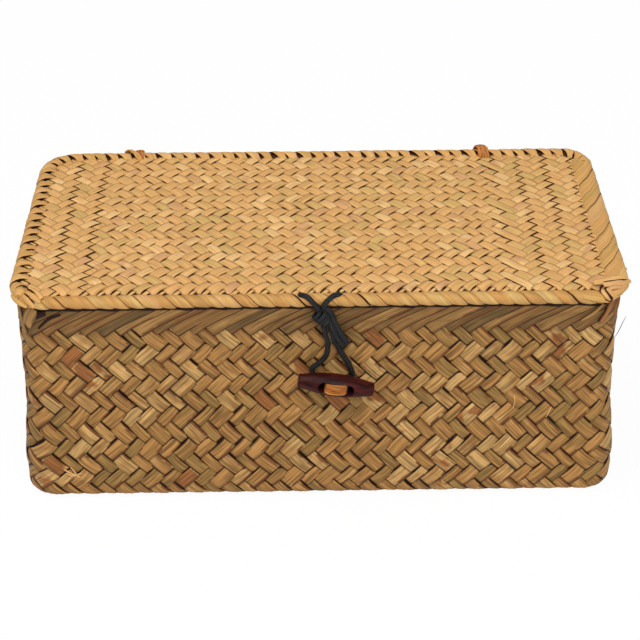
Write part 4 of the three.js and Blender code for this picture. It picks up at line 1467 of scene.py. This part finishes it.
class BASKET_OT_walls(bpy.types.Operator):
    """Plaits the walls from strips that climb both ways and turn under the base"""

    bl_idname = "basket.walls"
    bl_label = "Plaited walls"

    def execute(self, context):
        look = (grass("wall"), "body_grass", sizes().wall_thickness, away)
        finish_plait("wall", wall_strips, "basket", ["basket_shell"], *look)
        return {"FINISHED"}


class BASKET_OT_edge(bpy.types.Operator):
    """Folds slanted strips over the top of the wall"""

    bl_idname = "basket.edge"
    bl_label = "Folded edge"

    def execute(self, context):
        bm = edge_strips()
        nodes = ["basket_folded_edge"]
        finish_piece(bm, "edge_strips", "basket", grass("edge"), "edge_grass", nodes, sizes().wall_thickness)
        return {"FINISHED"}


BASE_BOUNDS = (117.5 * MM, 61.0 * MM, 8 * MM, 8 * MM)  # half width, half depth, front corners, rear corners
LID_BOUNDS = (121.0 * MM, 64.0 * MM, 3 * MM, 9 * MM)


class BASKET_OT_base(bpy.types.Operator):
    """Plaits the base inside the walls"""

    bl_idname = "basket.base"
    bl_label = "Plaited base"

    def execute(self, context):
        rows = lambda index, slope, number: number
        plait = (sizes().base_spacing, 1.0, BASE_BOUNDS, base_surface, rows, wall_share, 0.05)
        look = (grass("wall"), "body_grass", sizes().wall_thickness, upward)
        finish_plait("base", lambda family: level_strips(family, *plait), "basket", [], *look)
        return {"FINISHED"}


class BASKET_OT_lid(bpy.types.Operator):
    """Plaits the lid's panel, with its rows turned near the two ends"""

    bl_idname = "basket.lid"
    bl_label = "Plaited lid"

    def execute(self, context):
        lean = sizes().lid_steepness
        plait = (sizes().lid_spacing, lean, LID_BOUNDS, lid_surface, lid_row, lid_share, 0.07)
        look = (grass("lid"), "lid_grass", sizes().lid_thickness, upward)
        finish_plait("lid", lambda family: level_strips(family, *plait), "lid", ["lid_panel"], *look)
        return {"FINISHED"}


# How the strips are wound round each side of the rim
WINDING = {
    "front": {"pitch": 6.4 * MM, "lean": 2, "inner": 0.8, "crown": 0.78},
    "right": {"pitch": 13.0 * MM, "lean": 3.8, "inner": 2.5, "outer": 1.25, "crown": 0.9, "relief": 0.35},
    "rear": {"pitch": 5.8 * MM, "lean": 2, "taper": 0.42, "inner": 1.25, "relief": 0.6},
    "left": {"pitch": 6.7 * MM, "lean": 1, "taper": 0.62, "inner": 1.9, "crown": 0.95, "relief": 0.8},
}


class BASKET_OT_rims(bpy.types.Operator):
    """Winds slanted strips round the rim of the lid"""

    bl_idname = "basket.rims"
    bl_label = "Wound rims"

    def execute(self, context):
        thickness = sizes().wrap_thickness
        for family, (side, (start, end)) in enumerate(rim_spans().items()):
            bm = wound_strips(start, end, family, **WINDING[side])
            finish = grass("rim" if side == "front" else "side rim")
            finish_piece(bm, f"rim_wraps_{side}", "lid", finish, "rim_grass", [f"lid_rim_{side}"], thickness)
        # The core is painted shade that shows between the wraps
        finish_piece(rim_shade_core(), "rim_shade_core", "lid", grass("rim"), "rim_grass")
        return {"FINISHED"}


class BASKET_OT_loose(bpy.types.Operator):
    """Adds the strips that cross at the front corners and the fibres that stand off the wall"""

    bl_idname = "basket.loose"
    bl_label = "Corner strips and fibres"

    def execute(self, context):
        on_rim = corner_strips(RIM_KNOTS, 113, outward=0.25, forward=0.5, upward=0.85)
        finish_piece(on_rim, "rim_corner_strips", "lid", grass("side rim"), "rim_grass")
        on_edge = corner_strips(EDGE_KNOTS, 127, outward=0.5, forward=1.0, upward=0.0)
        finish_piece(on_edge, "edge_corner_strips", "basket", grass("edge"), "edge_grass")
        finish_piece(strays(), "stray_fibres", "basket", grass("lid"), "body_grass")
        return {"FINISHED"}


PALE_STRANDS = {"left": 5, "right": 0}  # in each tie


class BASKET_OT_ties(bpy.types.Operator):
    """Winds the two grass ties that are the lid's hinges"""

    bl_idname = "basket.ties"
    bl_label = "Hinge ties"

    def execute(self, context):
        finish = grass("tie")
        for number, (side, x) in enumerate(TIE_PLACES.items()):
            strands = hinge_tie(x, 3 + 20 * number, PALE_STRANDS[side])
            finish_piece(strands, f"tie_strands_{side}", "basket", finish, "tie_grass", [f"hinge_tie_{side}"])
            knot = hinge_knot(x, 7 + 20 * number)
            finish_piece(knot, f"tie_knot_{side}", "basket", finish, "tie_grass", [f"hinge_knot_{side}"])
        return {"FINISHED"}


class BASKET_OT_toggle(bpy.types.Operator):
    """Turns the wooden toggle and sews it on with grass strands"""

    bl_idname = "basket.toggle"
    bl_label = "Toggle and stitch"

    def execute(self, context):
        finish = grass("stitch")
        finish_piece(toggle_barrel(), "toggle_wood", "toggle", turned_wood(), "dark_wood", ["toggle_barrel"])
        finish_piece(stitch_strands(), "stitch_strands", "toggle", finish, "stitch_grass", ["toggle_stitch"])
        finish_piece(stitch_knot(), "stitch_coil", "toggle", finish, "stitch_grass", ["toggle_stitch_knot"])
        return {"FINISHED"}


OPERATORS = (
    BASKET_OT_stage,
    BASKET_OT_cord,
    BASKET_OT_walls,
    BASKET_OT_edge,
    BASKET_OT_base,
    BASKET_OT_lid,
    BASKET_OT_rims,
    BASKET_OT_loose,
    BASKET_OT_ties,
    BASKET_OT_toggle,
)


class BASKET_PT_pieces(bpy.types.Panel):
    """Lists the pieces of the basket with their sizes and colours"""

    bl_idname = "BASKET_PT_pieces"
    bl_label = "Woven basket"
    bl_space_type = "VIEW_3D"
    bl_region_type = "UI"
    bl_category = "Basket"

    def draw(self, context):
        for operator in OPERATORS:
            self.layout.operator(operator.bl_idname)
        for group in (context.scene.basket_sizes, context.scene.basket_colours):
            box = self.layout.box()
            for name in group.__annotations__:
                box.prop(group, name)


CLASSES = (BasketSizes, BasketColours, *OPERATORS, BASKET_PT_pieces)


def register():
    for cls in CLASSES:
        bpy.utils.register_class(cls)
    bpy.types.Scene.basket_sizes = PointerProperty(type=BasketSizes)
    bpy.types.Scene.basket_colours = PointerProperty(type=BasketColours)


def unregister():
    del bpy.types.Scene.basket_colours
    del bpy.types.Scene.basket_sizes
    for cls in reversed(CLASSES):
        bpy.utils.unregister_class(cls)


def main():
    register()
    for operator in OPERATORS:
        getattr(bpy.ops.basket, operator.bl_idname.split(".")[1])()


if __name__ == "__main__":
    main()
